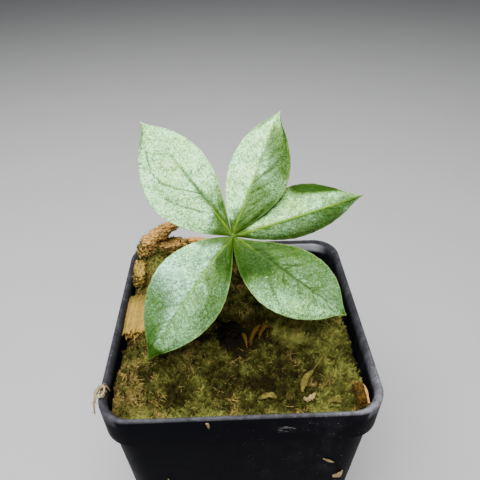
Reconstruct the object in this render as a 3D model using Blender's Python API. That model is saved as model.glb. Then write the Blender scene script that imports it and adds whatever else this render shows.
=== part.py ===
"""A young elephant foot yam in a square nursery pot, at real size.

Metres, +Z up. The origin is the middle of the pot's underside and the front of the pot faces -Y.
One leaf of five leaflets stands on a slender leaning petiole above a carpet of moss, with scraps of
bark, wood and dry leaf lying on it.
"""

import math

import bmesh
import bpy
from mathutils import Matrix, Vector, noise
from mathutils.bvhtree import BVHTree

MM = 0.001
GAP = 0.3 * MM

# Pot: a square tapered pot with a collar and a rounded lip.
POT_WIDTH = 80 * MM
POT_HEIGHT = 75 * MM
POT_CORNER = 9 * MM
POT_WALL = 1.3 * MM
COLLAR_HEIGHT = 12 * MM
COLLAR_STEP = 1.7 * MM
BODY_TAPER = 0.06
FLOOR = 2.4 * MM
DRAIN_DEPTH = 1.0 * MM
DRAIN_RADIUS = 3.2 * MM
DRAIN_SPACING = 20 * MM
CHANNEL_OUTER = 27 * MM
CHANNEL_INNER = 13 * MM
CORNER_SIDES = 6

# Growing medium, with a dark pit in it and in the moss beside the petiole.
MEDIUM_TOP = POT_HEIGHT - 11 * MM
PIT_CENTRE = Vector((-3.2, -0.6)) * MM
PIT_ACROSS = 4.2 * MM
PIT_ALONG = 6.0 * MM
PIT_DEPTH = 4 * MM

# Moss carpet.
MOSS_LEVEL = POT_HEIGHT - 7.7 * MM
MOSS_SIDES = 60
MOSS_RINGS = 13
# Lumps of two sizes all over the carpet: how high they are and how far apart.
MOSS_LUMPS = ((0.75 * MM, 9.0), (0.45 * MM, 3.6))
# How far the carpet's edge draws back from the left and right walls, and the edge's squareness.
MOSS_DRAWN_BACK = 2.6 * MM
MOSS_SQUARENESS = 9
# Cushions: where they stand, how far they rise over the carpet and how wide they are.
MOSS_CUSHIONS = (
    (Vector((-30, 33)) * MM, 9.0 * MM, 8.0 * MM),
    (Vector((-14, 36)) * MM, 6.8 * MM, 9.0 * MM),
    (Vector((-33, -14)) * MM, 1.6 * MM, 7.0 * MM),
    (Vector((21, -5)) * MM, 1.4 * MM, 4.0 * MM),
    (Vector((3, -30)) * MM, 1.8 * MM, 8.0 * MM),
    (Vector((26, -28)) * MM, 1.6 * MM, 7.0 * MM),
    (Vector((14, 12)) * MM, 1.2 * MM, 7.0 * MM),
)

# Plant: the tuber lies under the pit, and the petiole leans forward from it to the hub of the leaf.
TUBER_RADIUS = 8 * MM
TUBER_HEIGHT = 11 * MM
PETIOLE_FOOT = Vector((-12.0, 5.0, 57.5)) * MM
HUB = Vector((-1.0, 3.0, 104.0)) * MM
HUB_RADIUS = 1.5 * MM
PETIOLE_FOOT_RADIUS = 1.45 * MM
PETIOLE_TOP_RADIUS = 1.0 * MM
PETIOLE_BENDS = (Vector((-11.5, 5.0, 63.5)), Vector((-8.9, 5.0, 74)), Vector((-5.2, 4.8, 86)),
                 Vector((-2.2, 4.4, 97)))
BLADE_TILT = math.radians(45)
BLADE_THICKNESS = 0.7 * MM
BLADE_STATIONS = 16
BLADE_LANES = (-1.0, -0.7, -0.38, -0.09, 0.0, 0.09, 0.38, 0.7, 1.0)
MIDRIB_DEPTH = 0.3 * MM
# The leaflet's least half width, and the half width from which the midrib is at its full depth.
LEAFLET_LEAST = 0.35 * MM
MIDRIB_FULL = 5 * MM
# Waves of the edge: how many radians along the leaflet and from one edge to the other.
RIPPLE_ALONG = 9.0
RIPPLE_ACROSS = 2.0

# Each leaflet, seen from above the blade: the bearing of its midrib, its length, how far each half
# reaches from the midrib, where along it that half is widest and how full its base is, the sideways
# turn of the midrib, its rise at the hub and how much it arches over by the tip, the fold along the
# midrib (up is positive), the rounding of each half and the ripple of its edge.
LEAFLETS = {
    "upper_left": dict(bearing=127, length=48.0, left=(14.2, 0.47, 1.0), right=(8.5, 0.56, 1.4),
                       turn=4, rise=8, arch=22, fold=0.12, crown=0.25, ripple=0.35),
    "upper_right": dict(bearing=68, length=43.0, left=(8.9, 0.52, 1.0), right=(10.0, 0.49, 1.25),
                        turn=0, rise=12, arch=24, fold=0.0, crown=0.25, ripple=0.2),
    "right": dict(bearing=17, length=43.5, left=(11.0, 0.55, 1.45), right=(6.0, 0.51, 1.1),
                  turn=3, rise=2, arch=14, fold=-0.22, crown=0.35, ripple=0.25),
    "lower_right": dict(bearing=-36, length=42.5, left=(9.9, 0.59, 1.45), right=(11.7, 0.48, 0.9),
                        turn=3, rise=4, arch=22, fold=0.1, crown=0.25, ripple=0.55),
    "lower_left": dict(bearing=-126, length=45.5, left=(10.5, 0.51, 1.1), right=(12.7, 0.47, 1.0),
                       turn=8, rise=5, arch=24, fold=0.08, crown=0.28, ripple=0.3),
}


def clear_scene():
    """Remove every object that is already in the file."""
    for existing in list(bpy.data.objects):
        bpy.data.objects.remove(existing, do_unlink=True)


def material(name, colour, roughness):
    """A plain Principled material."""
    made = bpy.data.materials.new(name)
    made.use_nodes = True
    shader = made.node_tree.nodes["Principled BSDF"]
    shader.inputs["Base Color"].default_value = (*colour, 1.0)
    shader.inputs["Roughness"].default_value = roughness
    made.diffuse_color = (*colour, 1.0)
    return made


def object_from(name, builder, surface=None, smooth=True):
    """A named object from a bmesh, its faces pointing outwards."""
    bmesh.ops.recalc_face_normals(builder, faces=builder.faces)
    mesh = bpy.data.meshes.new(name)
    builder.to_mesh(mesh)
    builder.free()
    if smooth:
        mesh.shade_smooth()
        mesh.set_sharp_from_angle(angle=math.radians(40))
    made = bpy.data.objects.new(name, mesh)
    if surface:
        mesh.materials.append(surface)
    bpy.context.scene.collection.objects.link(made)
    return made


def loft(builder, rings, cap_first=True, cap_last=True):
    """Join rings of points, all of one count, with quads and close the ends."""
    rows = [[builder.verts.new(point) for point in ring] for ring in rings]
    for low, high in zip(rows, rows[1:]):
        for i, point in enumerate(low):
            j = (i + 1) % len(low)
            builder.faces.new((point, low[j], high[j], high[i]))
    if cap_first:
        builder.faces.new(rows[0][::-1])
    if cap_last:
        builder.faces.new(rows[-1])
    return rows


def rounded_square(half, corner, z, sides=CORNER_SIDES):
    """A square ring with round corners, counter-clockwise from the right side."""
    ring = []
    for quarter in range(4):
        turn = Matrix.Rotation(math.radians(90 * quarter), 2)
        for step in range(sides + 1):
            angle = math.radians(-90 + 90 * step / sides)
            point = Vector((half - corner, corner - half))
            point += Vector((corner * math.cos(angle), corner * math.sin(angle)))
            point = turn @ point
            ring.append(Vector((point.x, point.y, z)))
    return ring


def bake_modifiers(made):
    """Keep the object's evaluated mesh and drop its modifiers."""
    depsgraph = bpy.context.evaluated_depsgraph_get()
    baked = bpy.data.meshes.new_from_object(made.evaluated_get(depsgraph))
    made.modifiers.clear()
    made.data = baked
    return made


def combine(made, others, operation, solver="EXACT"):
    """Apply one Boolean of a whole collection to an object and remove the collection."""
    group = bpy.data.collections.new("tools")
    bpy.context.scene.collection.children.link(group)
    for other in others:
        bpy.context.scene.collection.objects.unlink(other)
        group.objects.link(other)
    boolean = made.modifiers.new(operation.lower(), "BOOLEAN")
    boolean.operation = operation
    boolean.operand_type = "COLLECTION"
    boolean.collection = group
    boolean.solver = solver
    bake_modifiers(made)
    for other in list(group.objects):
        bpy.data.objects.remove(other, do_unlink=True)
    bpy.data.collections.remove(group)
    return made


def body_half(z):
    """Half the pot's outside width below the collar."""
    under_collar = POT_HEIGHT - COLLAR_HEIGHT
    return POT_WIDTH / 2 - COLLAR_STEP - BODY_TAPER * (under_collar - z)


def pot_inner_half(z):
    """Half the pot's inside width."""
    if z > POT_HEIGHT - COLLAR_HEIGHT:
        return POT_WIDTH / 2 - 0.3 * MM - POT_WALL
    return body_half(z) - POT_WALL


def corner_for(half):
    """The corner radius that keeps the wall even round a corner."""
    return POT_CORNER - (POT_WIDTH / 2 - half) * 0.8


def square_at(half, z):
    return rounded_square(half, corner_for(half), z)


def drain_tools():
    """A square channel in the underside, its outlets and the drain holes."""
    tools = []
    builder = bmesh.new()
    outer = rounded_square(CHANNEL_OUTER, 4 * MM, -MM)
    inner = rounded_square(CHANNEL_INNER, 3 * MM, -MM)
    lift = Vector((0, 0, MM + DRAIN_DEPTH))
    rings = [outer, [p + lift for p in outer], [p + lift for p in inner], inner]
    rows = loft(builder, rings, cap_first=False, cap_last=False)
    for i, point in enumerate(rows[0]):
        j = (i + 1) % len(rows[0])
        builder.faces.new((point, rows[3][i], rows[3][j], rows[0][j]))
    tools.append(object_from("channel", builder))
    for quarter in range(4):
        turn = Matrix.Rotation(math.radians(90 * quarter), 4, "Z")
        builder = bmesh.new()
        bmesh.ops.create_cube(builder, size=1.0)
        size = Matrix.Diagonal((14 * MM, 6 * MM, 2 * DRAIN_DEPTH, 1))
        place = turn @ Matrix.Translation((CHANNEL_OUTER + 3 * MM, 0, 0)) @ size
        bmesh.ops.transform(builder, matrix=place, verts=builder.verts)
        tools.append(object_from("outlet", builder))
        for spot in (Vector((1, 0, 0)), Vector((1, 1, 0))):
            builder = bmesh.new()
            centre = turn @ Matrix.Translation(spot * DRAIN_SPACING)
            bmesh.ops.create_cone(
                builder, cap_ends=True, segments=14, radius1=DRAIN_RADIUS,
                radius2=DRAIN_RADIUS, depth=4 * FLOOR, matrix=centre,
            )
            tools.append(object_from("drain", builder))
    return tools


def build_pot(surface):
    """Outside from the foot up to the lip, then down the inside to the floor."""
    half = POT_WIDTH / 2
    step = POT_HEIGHT - COLLAR_HEIGHT
    lip_round = 0.6 * MM
    collar_foot = half - 0.35 * MM
    profile = (
        (body_half(0) - 0.7 * MM, 0.0),
        (body_half(0), 1.0 * MM),
        (body_half(step), step - 0.2 * MM),
        (collar_foot - 0.5 * MM, step),
        (collar_foot, step + 0.5 * MM),
        (half, POT_HEIGHT - 1.4 * MM),
        (half - 0.15 * MM, POT_HEIGHT - 0.4 * MM),
        (half - lip_round, POT_HEIGHT),
        (half - POT_WALL + 0.2 * MM, POT_HEIGHT - 0.2 * MM),
        (half - POT_WALL, POT_HEIGHT - 0.9 * MM),
        (pot_inner_half(step + MM), step + 1.2 * MM),
        (pot_inner_half(step - MM), step - 0.8 * MM),
        (pot_inner_half(FLOOR) - 0.1 * MM, FLOOR + 0.8 * MM),
        (pot_inner_half(FLOOR) - 0.9 * MM, FLOOR),
    )
    builder = bmesh.new()
    loft(builder, [square_at(width, z) for width, z in profile])
    pot = object_from("pot", builder, surface)
    return combine(pot, drain_tools(), "DIFFERENCE")


def oval(centre, across, along, z, count):
    """An upright oval's ring, its points in step with a rounded square's."""
    ring = []
    for i in range(count):
        angle = math.radians(-45) + 2 * math.pi * i / count
        ring.append(Vector((centre.x + across * math.cos(angle), centre.y + along * math.sin(angle), z)))
    return ring


def pit_outline(count, scale, z):
    return oval(PIT_CENTRE, PIT_ACROSS * scale, PIT_ALONG * scale, z, count)


def tuber_profile(grow=0.0):
    """Radius and height of the flattened tuber from its top to its underside."""
    top = PETIOLE_FOOT.z - GAP
    middle = top - TUBER_HEIGHT / 2
    rows = []
    for degrees in (72, 50, 25, 0, -30, -60):
        angle = math.radians(degrees)
        radius = (TUBER_RADIUS + grow) * math.cos(angle)
        rows.append((radius, middle + (TUBER_HEIGHT / 2 + grow) * math.sin(angle)))
    return rows


def build_medium(surface):
    """Peat and bark filling the pot, with the pit and the pocket that the tuber grows in."""
    foot = FLOOR + GAP
    side = GAP + 0.05 * MM
    step = POT_HEIGHT - COLLAR_HEIGHT
    top_half = pot_inner_half(step - MM) - side
    rings = [
        square_at(pot_inner_half(foot) - MM - side, foot),
        square_at(pot_inner_half(foot) - side - 0.1 * MM, foot + MM),
        square_at(top_half, step - 1.2 * MM),
        square_at(top_half, MEDIUM_TOP - 0.6 * MM),
        square_at(top_half - 0.8 * MM, MEDIUM_TOP),
        pit_outline(4 * (CORNER_SIDES + 1), 1.04, MEDIUM_TOP),
        pit_outline(4 * (CORNER_SIDES + 1), 0.94, MEDIUM_TOP - 0.6 * PIT_DEPTH),
        pit_outline(4 * (CORNER_SIDES + 1), 0.7, MEDIUM_TOP - PIT_DEPTH),
    ]
    builder = bmesh.new()
    loft(builder, rings)
    medium = object_from("growing_medium", builder, surface)
    pocket = bmesh.new()
    loft(pocket, [oval(PETIOLE_FOOT, radius, radius, z, 20) for radius, z in tuber_profile(GAP)])
    return combine(medium, [object_from("pocket", pocket), petiole_hole()], "DIFFERENCE")


def build_tuber(surface):
    builder = bmesh.new()
    loft(builder, [oval(PETIOLE_FOOT, radius, radius, z, 20) for radius, z in tuber_profile()])
    return object_from("tuber", builder, surface)


def moss_height(x, y):
    """Height of the moss: lumps of two sizes and the cushions."""
    spot = Vector((x, y, 0)) / MM
    height = MOSS_LEVEL
    for rise, spacing in MOSS_LUMPS:
        height += rise * noise.noise(spot / spacing)
    for centre, rise, width in MOSS_CUSHIONS:
        distance = (Vector((x, y)) - centre).length / width
        height += rise * math.exp(-distance ** 2)
    return height


def moss_edge(count):
    """The carpet's outline, drawn back from the left and right walls here and there."""
    half = POT_WIDTH / 2 - POT_WALL - 0.9 * MM
    ring = []
    for i in range(count):
        angle = math.radians(-45) + 2 * math.pi * i / count
        direction = Vector((math.cos(angle), math.sin(angle)))
        reach = (abs(direction.x) ** MOSS_SQUARENESS + abs(direction.y) ** MOSS_SQUARENESS)
        reach = reach ** (-1 / MOSS_SQUARENESS)
        point = direction * half * reach
        side = abs(direction.x) / max(abs(direction.x), abs(direction.y))
        drawn_back = 0.5 + 0.5 * noise.noise(Vector((point.x, point.y, 0)) / (8 * MM))
        point -= Vector((math.copysign(MOSS_DRAWN_BACK, point.x) * drawn_back * side ** 4, 0))
        ring.append(point)
    return ring


def build_moss(surface):
    """A carpet of rings from the pit out to the walls, with a rounded outer edge."""
    edge = moss_edge(MOSS_SIDES)
    pit = pit_outline(MOSS_SIDES, 1.0, 0)
    under = MEDIUM_TOP + GAP
    rings = [[Vector((p.x, p.y, under)) for p in pit]]
    for step in range(MOSS_RINGS):
        part = (step / (MOSS_RINGS - 1)) ** 0.85
        ring = []
        for inner, outer in zip(pit, edge):
            spot = Vector((inner.x, inner.y)).lerp(outer, 0.012 + 0.988 * part)
            drop = 1.5 * MM if step in (0, MOSS_RINGS - 1) else 0.0
            ring.append(Vector((spot.x, spot.y, moss_height(spot.x, spot.y) - drop)))
        rings.append(ring)
    rings.append([Vector((p.x * 0.985, p.y * 0.985, under)) for p in edge])
    builder = bmesh.new()
    rows = loft(builder, rings, cap_first=False, cap_last=False)
    for i, point in enumerate(rows[0]):
        j = (i + 1) % len(rows[0])
        builder.faces.new((point, rows[-1][i], rows[-1][j], rows[0][j]))
    bmesh.ops.triangulate(builder, faces=builder.faces)
    return combine(object_from("moss", builder, surface), [petiole_hole()], "DIFFERENCE")


def smooth_route(points, samples):
    """Evenly counted points on a smooth curve through the given ones."""
    padded = [2 * points[0] - points[1], *points, 2 * points[-1] - points[-2]]
    route = []
    for k in range(samples + 1):
        place = k / samples * (len(points) - 1)
        i = min(int(place), len(points) - 2)
        t = place - i
        a, b, c, d = padded[i:i + 4]
        route.append(0.5 * (2 * b + (c - a) * t + (2 * a - 5 * b + 4 * c - d) * t ** 2
                            + (3 * b - a - 3 * c + d) * t ** 3))
    return route


def tube(builder, route, radii, sides, squash=1.0, up=Vector((0, 0, 1)), rough=0.0, seed=0.0):
    """Sweep an oval along a route; squash flattens it towards the up direction."""
    rings = []
    for i, point in enumerate(route):
        ahead = route[min(i + 1, len(route) - 1)] - route[max(i - 1, 0)]
        ahead.normalize()
        across = ahead.cross(up).normalized()
        over = across.cross(ahead)
        ring = []
        for k in range(sides):
            angle = 2 * math.pi * k / sides
            arm = across * math.cos(angle) + over * squash * math.sin(angle)
            wobble = 1 + rough * noise.noise((point + arm * 2 * MM) / (2.3 * MM) + Vector((seed,) * 3))
            ring.append(point + arm * radii[i] * wobble)
        rings.append(ring)
    loft(builder, rings)


def petiole_route(samples=18):
    """From the tuber up out of the moss, leaning right to the hub."""
    normal = blade_axes()[2]
    top = HUB - normal * (HUB_RADIUS + GAP + 0.2 * MM)
    bends = [bend * MM for bend in PETIOLE_BENDS]
    return smooth_route([PETIOLE_FOOT, *bends, top], samples)


def petiole_radii(count, grow=0.0):
    taper = PETIOLE_TOP_RADIUS - PETIOLE_FOOT_RADIUS
    return [PETIOLE_FOOT_RADIUS + grow + taper * i / (count - 1) for i in range(count)]


def build_petiole(surface):
    route = petiole_route()
    builder = bmesh.new()
    tube(builder, route, petiole_radii(len(route)), 12, up=Vector((0, 1, 0)))
    return object_from("petiole", builder, surface)


def petiole_hole():
    """The plain hole that the petiole stands in, from the tuber's pocket out through the moss."""
    route = petiole_route()[:8]
    route[0] = route[0] - Vector((0, 0, MM))
    builder = bmesh.new()
    tube(builder, route, petiole_radii(19, GAP)[:8], 12, up=Vector((0, 1, 0)))
    return object_from("petiole_hole", builder)


def blade_axes():
    """The blade's plane: across, up along it and its normal, which leans towards the front."""
    across = Vector((1, 0, 0))
    normal = Vector((0, -math.sin(BLADE_TILT), math.cos(BLADE_TILT)))
    return across, normal.cross(across), normal


def half_width(s, half):
    """Half the leaflet's width at a fraction of its length: widest at peak, fuller for a small base."""
    width, peak, base = half
    tip = base * (1 - peak) / peak
    inside = min(max(s, 0.0), 1.0)
    return width * MM * (inside / peak) ** base * ((1 - inside) / (1 - peak)) ** tip


def midrib(leaflet, count):
    """Points and frames along the midrib, which rises from the hub and arches over."""
    across, along, normal = blade_axes()
    step = leaflet["length"] * MM / count
    point = HUB.copy()
    frames = []
    for i in range(count + 1):
        s = i / count
        bearing = math.radians(leaflet["bearing"] + leaflet["turn"] * (s - 0.5))
        pitch = math.radians(leaflet["rise"] - leaflet["arch"] * s)
        flat = across * math.cos(bearing) + along * math.sin(bearing)
        ahead = flat * math.cos(pitch) + normal * math.sin(pitch)
        side = ahead.cross(normal).normalized()
        frames.append((point.copy(), side, side.cross(ahead)))
        point = point + ahead * step
    return frames


def leaflet_rows(leaflet, stations, lanes):
    """Rows of (point, up) across the leaflet, from the hub to the tip."""
    rows = []
    for i, (point, side, up) in enumerate(midrib(leaflet, stations)):
        s = i / stations
        row = []
        for t in lanes:
            reach = half_width(s, leaflet["left"] if t < 0 else leaflet["right"])
            reach = max(reach, LEAFLET_LEAST)
            height = reach * (leaflet["fold"] * abs(t) - leaflet["crown"] * t * t)
            if t == 0:
                height -= MIDRIB_DEPTH * (1 - s) * min(1.0, reach / MIDRIB_FULL)
            wave = math.sin(RIPPLE_ALONG * s + RIPPLE_ACROSS * t + leaflet["bearing"])
            height += leaflet["ripple"] * MM * wave * abs(t) ** 3 * math.sin(math.pi * s)
            row.append(point + side * reach * t + up * height)
        rows.append(row)
    return rows


def surface_normals(rows):
    """A unit normal at each point of a grid, on the upper side."""
    normals = []
    for i, row in enumerate(rows):
        before, after = rows[max(i - 1, 0)], rows[min(i + 1, len(rows) - 1)]
        line = []
        for j in range(len(row)):
            left, right = row[max(j - 1, 0)], row[min(j + 1, len(row) - 1)]
            line.append((right - left).cross(after[j] - before[j]).normalized())
        normals.append(line)
    return normals


def leaflet_solid(name, leaflet):
    """A blade of even thickness, split into triangles alike on both faces."""
    rows = leaflet_rows(leaflet, BLADE_STATIONS, BLADE_LANES)
    normals = surface_normals(rows)
    builder = bmesh.new()
    faces = []
    for side in (0.5, -0.5):
        faces.append([[builder.verts.new(p + n * side * BLADE_THICKNESS) for p, n in zip(row, line)]
                      for row, line in zip(rows, normals)])
    upper, lower = faces
    lanes = len(BLADE_LANES)
    for i in range(BLADE_STATIONS):
        for j in range(lanes - 1):
            for grid in (upper, lower):
                near, far = grid[i], grid[i + 1]
                builder.faces.new((near[j], near[j + 1], far[j + 1]))
                builder.faces.new((near[j], far[j + 1], far[j]))
        for j in (0, lanes - 1):
            builder.faces.new((upper[i][j], upper[i + 1][j], lower[i + 1][j], lower[i][j]))
    for i in (0, BLADE_STATIONS):
        for j in range(lanes - 1):
            builder.faces.new((upper[i][j], upper[i][j + 1], lower[i][j + 1], lower[i][j]))
    return object_from(name, builder)


def build_leaf_blade(surface):
    """Five leaflets that grow together at a small round hub."""
    builder = bmesh.new()
    turn = Matrix.Rotation(BLADE_TILT, 4, "X")
    size = Matrix.Diagonal((1.25, 1.25, 0.9, 1))
    bmesh.ops.create_uvsphere(
        builder, u_segments=14, v_segments=8, radius=HUB_RADIUS,
        matrix=Matrix.Translation(HUB) @ turn @ size,
    )
    blade = object_from("leaf_blade", builder, surface)
    leaflets = [leaflet_solid(name, leaflet) for name, leaflet in LEAFLETS.items()]
    combine(blade, leaflets, "UNION", "MANIFOLD")
    blade.data.materials.clear()
    blade.data.materials.append(surface)
    return blade


def seat_on(made, supports, clearance=GAP):
    """Move an object straight up or down until it lies just clear of what carries it."""
    depsgraph = bpy.context.evaluated_depsgraph_get()
    piece = BVHTree.FromObject(made, depsgraph)
    up, far = Vector((0, 0, 1)), Vector((0, 0, 2 * POT_HEIGHT))
    gaps = []
    for support in supports:
        base = BVHTree.FromObject(support, depsgraph)
        for vertex in made.data.vertices:
            hit = base.ray_cast(vertex.co + far, -up)[0]
            if hit:
                gaps.append(vertex.co.z - hit.z)
        for vertex in support.data.vertices:
            hit = piece.ray_cast(vertex.co - far, up)[0]
            if hit and vertex.normal.z > 0:
                gaps.append(hit.z - vertex.co.z)
    made.data.transform(Matrix.Translation((0, 0, clearance - min(gaps))))


def chip(name, centre, size, heading, pitch, surface, seed):
    """A split of wood or bark: a long block with ragged, uneven faces."""
    builder = bmesh.new()
    bmesh.ops.create_grid(builder, x_segments=6, y_segments=3, size=0.5)
    flat = bmesh.ops.extrude_face_region(builder, geom=builder.faces[:])
    lifted = [item for item in flat["geom"] if isinstance(item, bmesh.types.BMVert)]
    bmesh.ops.translate(builder, vec=(0, 0, 1), verts=lifted)
    shift = Vector((seed * 7.3, seed * 3.1, 0))
    for vertex in builder.verts:
        x, y, z = vertex.co.x, vertex.co.y, vertex.co.z - 0.5
        taper = 1 - 0.35 * abs(2 * x) ** 3
        ragged = noise.noise(Vector((x * 2, y * 5, z * 2)) + shift)
        grain = noise.noise(Vector((x, y * 9, z)) + shift * 2)
        vertex.co.x = size.x * (x + 0.12 * ragged)
        vertex.co.y = size.y * y * taper * (1 + 0.25 * ragged)
        vertex.co.z = size.z * (z * taper + 0.2 * grain)
    spin = Matrix.Rotation(math.radians(heading), 4, "Z") @ Matrix.Rotation(math.radians(pitch), 4, "X")
    bmesh.ops.transform(builder, matrix=Matrix.Translation(centre) @ spin, verts=builder.verts)
    bmesh.ops.triangulate(builder, faces=builder.faces)
    return object_from(name, builder, surface, smooth=False)


def swept_scrap(name, points, radii, surface, sides=8, samples=14, squash=1.0, rough=0.0):
    """A strip, sliver or strand swept through a few points, with a radius at each of them."""
    route = smooth_route([Vector(point) * MM for point in points], samples)
    widths = []
    for i in range(samples + 1):
        place = i / samples * (len(radii) - 1)
        low = min(int(place), len(radii) - 2)
        widths.append((radii[low] + (radii[low + 1] - radii[low]) * (place - low)) * MM)
    builder = bmesh.new()
    tube(builder, route, widths, sides, squash, rough=rough, seed=len(name))
    bmesh.ops.triangulate(builder, faces=builder.faces)
    return object_from(name, builder, surface)


def build_scraps(moss, pot):
    """Everything that lies on the moss or over the rim."""
    orange = material("orange_bark", (0.42, 0.19, 0.07), 0.85)
    tan = material("pale_wood", (0.55, 0.38, 0.18), 0.8)
    dark = material("dark_bark", (0.16, 0.075, 0.03), 0.85)
    straw = material("dry_leaf", (0.5, 0.4, 0.2), 0.8)

    strip = swept_scrap(
        "bark_strip_back", ((-21, 37.4, 78), (-16, 38.0, 78), (-9, 38.6, 77.4), (-1, 38.8, 77)),
        (1.3, 2.1, 1.2, 0.7), orange, sides=9, samples=12, squash=0.9, rough=0.4)
    seat_on(strip, (moss, pot))
    chunk = chip("bark_chunk_back", Vector((-23.6, 33.0, 78)) * MM, Vector((10.5, 5.4, 4.8)) * MM,
                 4, 8, orange, 3)
    seat_on(chunk, (moss, pot, strip))
    shard = swept_scrap(
        "bark_shard_back",
        ((-35.4, 31.2, 75), (-33.6, 32.2, 78.4), (-30.6, 33.2, 81.6), (-25.6, 34.6, 84.6),
         (-19.0, 36.0, 87.0)),
        (1.8, 3.0, 3.6, 2.4, 0.8), orange, sides=10, samples=14, squash=0.85, rough=0.6)
    seat_on(shard, (moss, pot, strip, chunk))
    lump = chip("coir_lump_left", Vector((-35.9, 23.8, 72)) * MM, Vector((11, 3.4, 5.2)) * MM,
                96, 8, tan, 5)
    seat_on(lump, (moss,))
    split = chip("wood_chip_left", Vector((-31.8, 6.5, 71)) * MM, Vector((20, 9, 2.6)) * MM,
                 94, 10, tan, 8)
    seat_on(split, (moss,))
    corner = chip("wood_chip_front_right", Vector((34.4, -29.5, 70)) * MM, Vector((7.5, 4.2, 3.6)) * MM,
                  62, 24, orange, 11)
    seat_on(corner, (moss,))

    slivers = (
        ((2.6, -4.4, 69), (1.9, -5.6, 72.4), (2.6, -7.2, 73.4), (3.8, -8.4, 70.2)),
        ((5.0, -2.4, 69), (5.2, -3.8, 71.8), (6.2, -5.2, 72.6), (7.2, -6.6, 70.0)),
        ((8.0, -1.4, 69), (8.8, -2.8, 71.2), (10.0, -4.0, 71.4), (10.8, -5.4, 69.6)),
    )
    for number, points in enumerate(slivers, start=1):
        sliver = swept_scrap(f"bark_sliver_{number}", points, (0.4, 0.7, 0.75, 0.4), dark,
                             sides=6, samples=8, squash=0.6, rough=0.3)
        seat_on(sliver, (moss,))

    flakes = ((20.4, -28.4, 2.9, 1.9, 30), (7.0, -29.6, 3.2, 1.7, -10), (27.0, -31.6, 3.8, 1.6, 8))
    for number, (x, y, length, width, heading) in enumerate(flakes, start=1):
        flake = chip(f"pale_flake_{number}", Vector((x, y, 70)) * MM,
                     Vector((length, width, 0.9)) * MM, heading, 0, straw, 20 + number)
        seat_on(flake, (moss,))
    build_dry_leaf(moss, straw)
    build_strand(straw)


def build_dry_leaf(moss, surface):
    """A dry stalk with the curled leaf that still hangs on it, as one piece."""
    stalk = swept_scrap(
        "dry_leaf_scrap", ((28.5, -12.6, 70), (26.0, -16.2, 71.2), (23.6, -19.2, 71), (21.6, -21.6, 70.8)),
        (0.4, 0.45, 0.45, 0.4), surface, sides=6, samples=9)
    leaf = swept_scrap(
        "curled_leaf", ((22.3, -20.6, 70.9), (20.9, -22.6, 71.0), (19.6, -24.8, 70.8), (18.6, -27.2, 70.2)),
        (0.4, 1.1, 1.3, 0.4), surface, sides=8, samples=9, squash=0.5, rough=0.25)
    combine(stalk, [leaf], "UNION")
    stalk.data.materials.clear()
    stalk.data.materials.append(surface)
    seat_on(stalk, (moss,))


def build_strand(surface):
    """A dry moss strand that loops over the lip at the front left corner."""
    points = (
        (-35.4, -27.6, 73.2), (-36.8, -28.4, 76.2), (-38.9, -28.8, 77.6), (-40.6, -29.8, 76.6),
        (-40.9, -31.0, 74.0), (-40.8, -32.0, 71.6), (-40.9, -33.0, 70.0),
    )
    return swept_scrap("sphagnum_strand", points, (0.35, 0.5, 0.5, 0.35), surface, sides=7, samples=18)


def main():
    clear_scene()
    black = material("black_plastic", (0.012, 0.012, 0.015), 0.42)
    peat = material("peat", (0.035, 0.022, 0.012), 0.95)
    corm = material("tuber_skin", (0.12, 0.07, 0.035), 0.9)
    green = material("moss_green", (0.11, 0.12, 0.02), 0.95)
    stem = material("petiole_dark", (0.045, 0.05, 0.025), 0.55)
    leaf = material("leaf_green", (0.16, 0.33, 0.11), 0.42)
    pot = build_pot(black)
    build_medium(peat)
    build_tuber(corm)
    moss = build_moss(green)
    build_petiole(stem)
    build_leaf_blade(leaf)
    build_scraps(moss, pot)


main()
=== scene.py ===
"""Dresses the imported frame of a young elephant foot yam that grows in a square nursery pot.

The leaf, the moss, the pot and the scraps on the moss are modelled piece by piece, in metres, in the
frame's own axes: +Z up and the front of the pot towards -Y.
"""

import math
import random
from contextlib import contextmanager
from functools import partial

import bmesh
import bpy
import numpy as np
from bpy.props import FloatProperty, FloatVectorProperty, IntProperty, PointerProperty
from bpy.types import Operator, Panel, PropertyGroup
from mathutils import Matrix, Vector, noise
from mathutils.bvhtree import BVHTree


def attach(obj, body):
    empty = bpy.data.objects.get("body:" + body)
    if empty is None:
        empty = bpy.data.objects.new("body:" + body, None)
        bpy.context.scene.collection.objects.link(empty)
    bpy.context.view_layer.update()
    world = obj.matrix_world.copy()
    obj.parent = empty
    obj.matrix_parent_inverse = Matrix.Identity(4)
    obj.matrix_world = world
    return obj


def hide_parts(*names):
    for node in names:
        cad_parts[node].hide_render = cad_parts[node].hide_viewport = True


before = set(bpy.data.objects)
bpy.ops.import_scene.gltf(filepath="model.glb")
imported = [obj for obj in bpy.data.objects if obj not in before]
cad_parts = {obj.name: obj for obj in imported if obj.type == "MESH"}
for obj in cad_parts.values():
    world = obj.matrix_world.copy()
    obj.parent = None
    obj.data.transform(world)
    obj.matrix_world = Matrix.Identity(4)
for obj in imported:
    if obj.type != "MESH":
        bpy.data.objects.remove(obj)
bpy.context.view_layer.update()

bl_info = {
    "name": "Potted elephant foot yam",
    "version": (1, 0, 0),
    "blender": (4, 5, 0),
    "location": "3D View > Sidebar > Yam",
    "description": "Models a young elephant foot yam in its nursery pot around the packed frame",
    "category": "Add Mesh",
}

MM = 0.001

# Corners closer together than this are merged, and a random turn lies in this range, in radians.
MERGE_WITHIN = 0.002 * MM
ANY_TURN = (0, 6.3)

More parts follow.
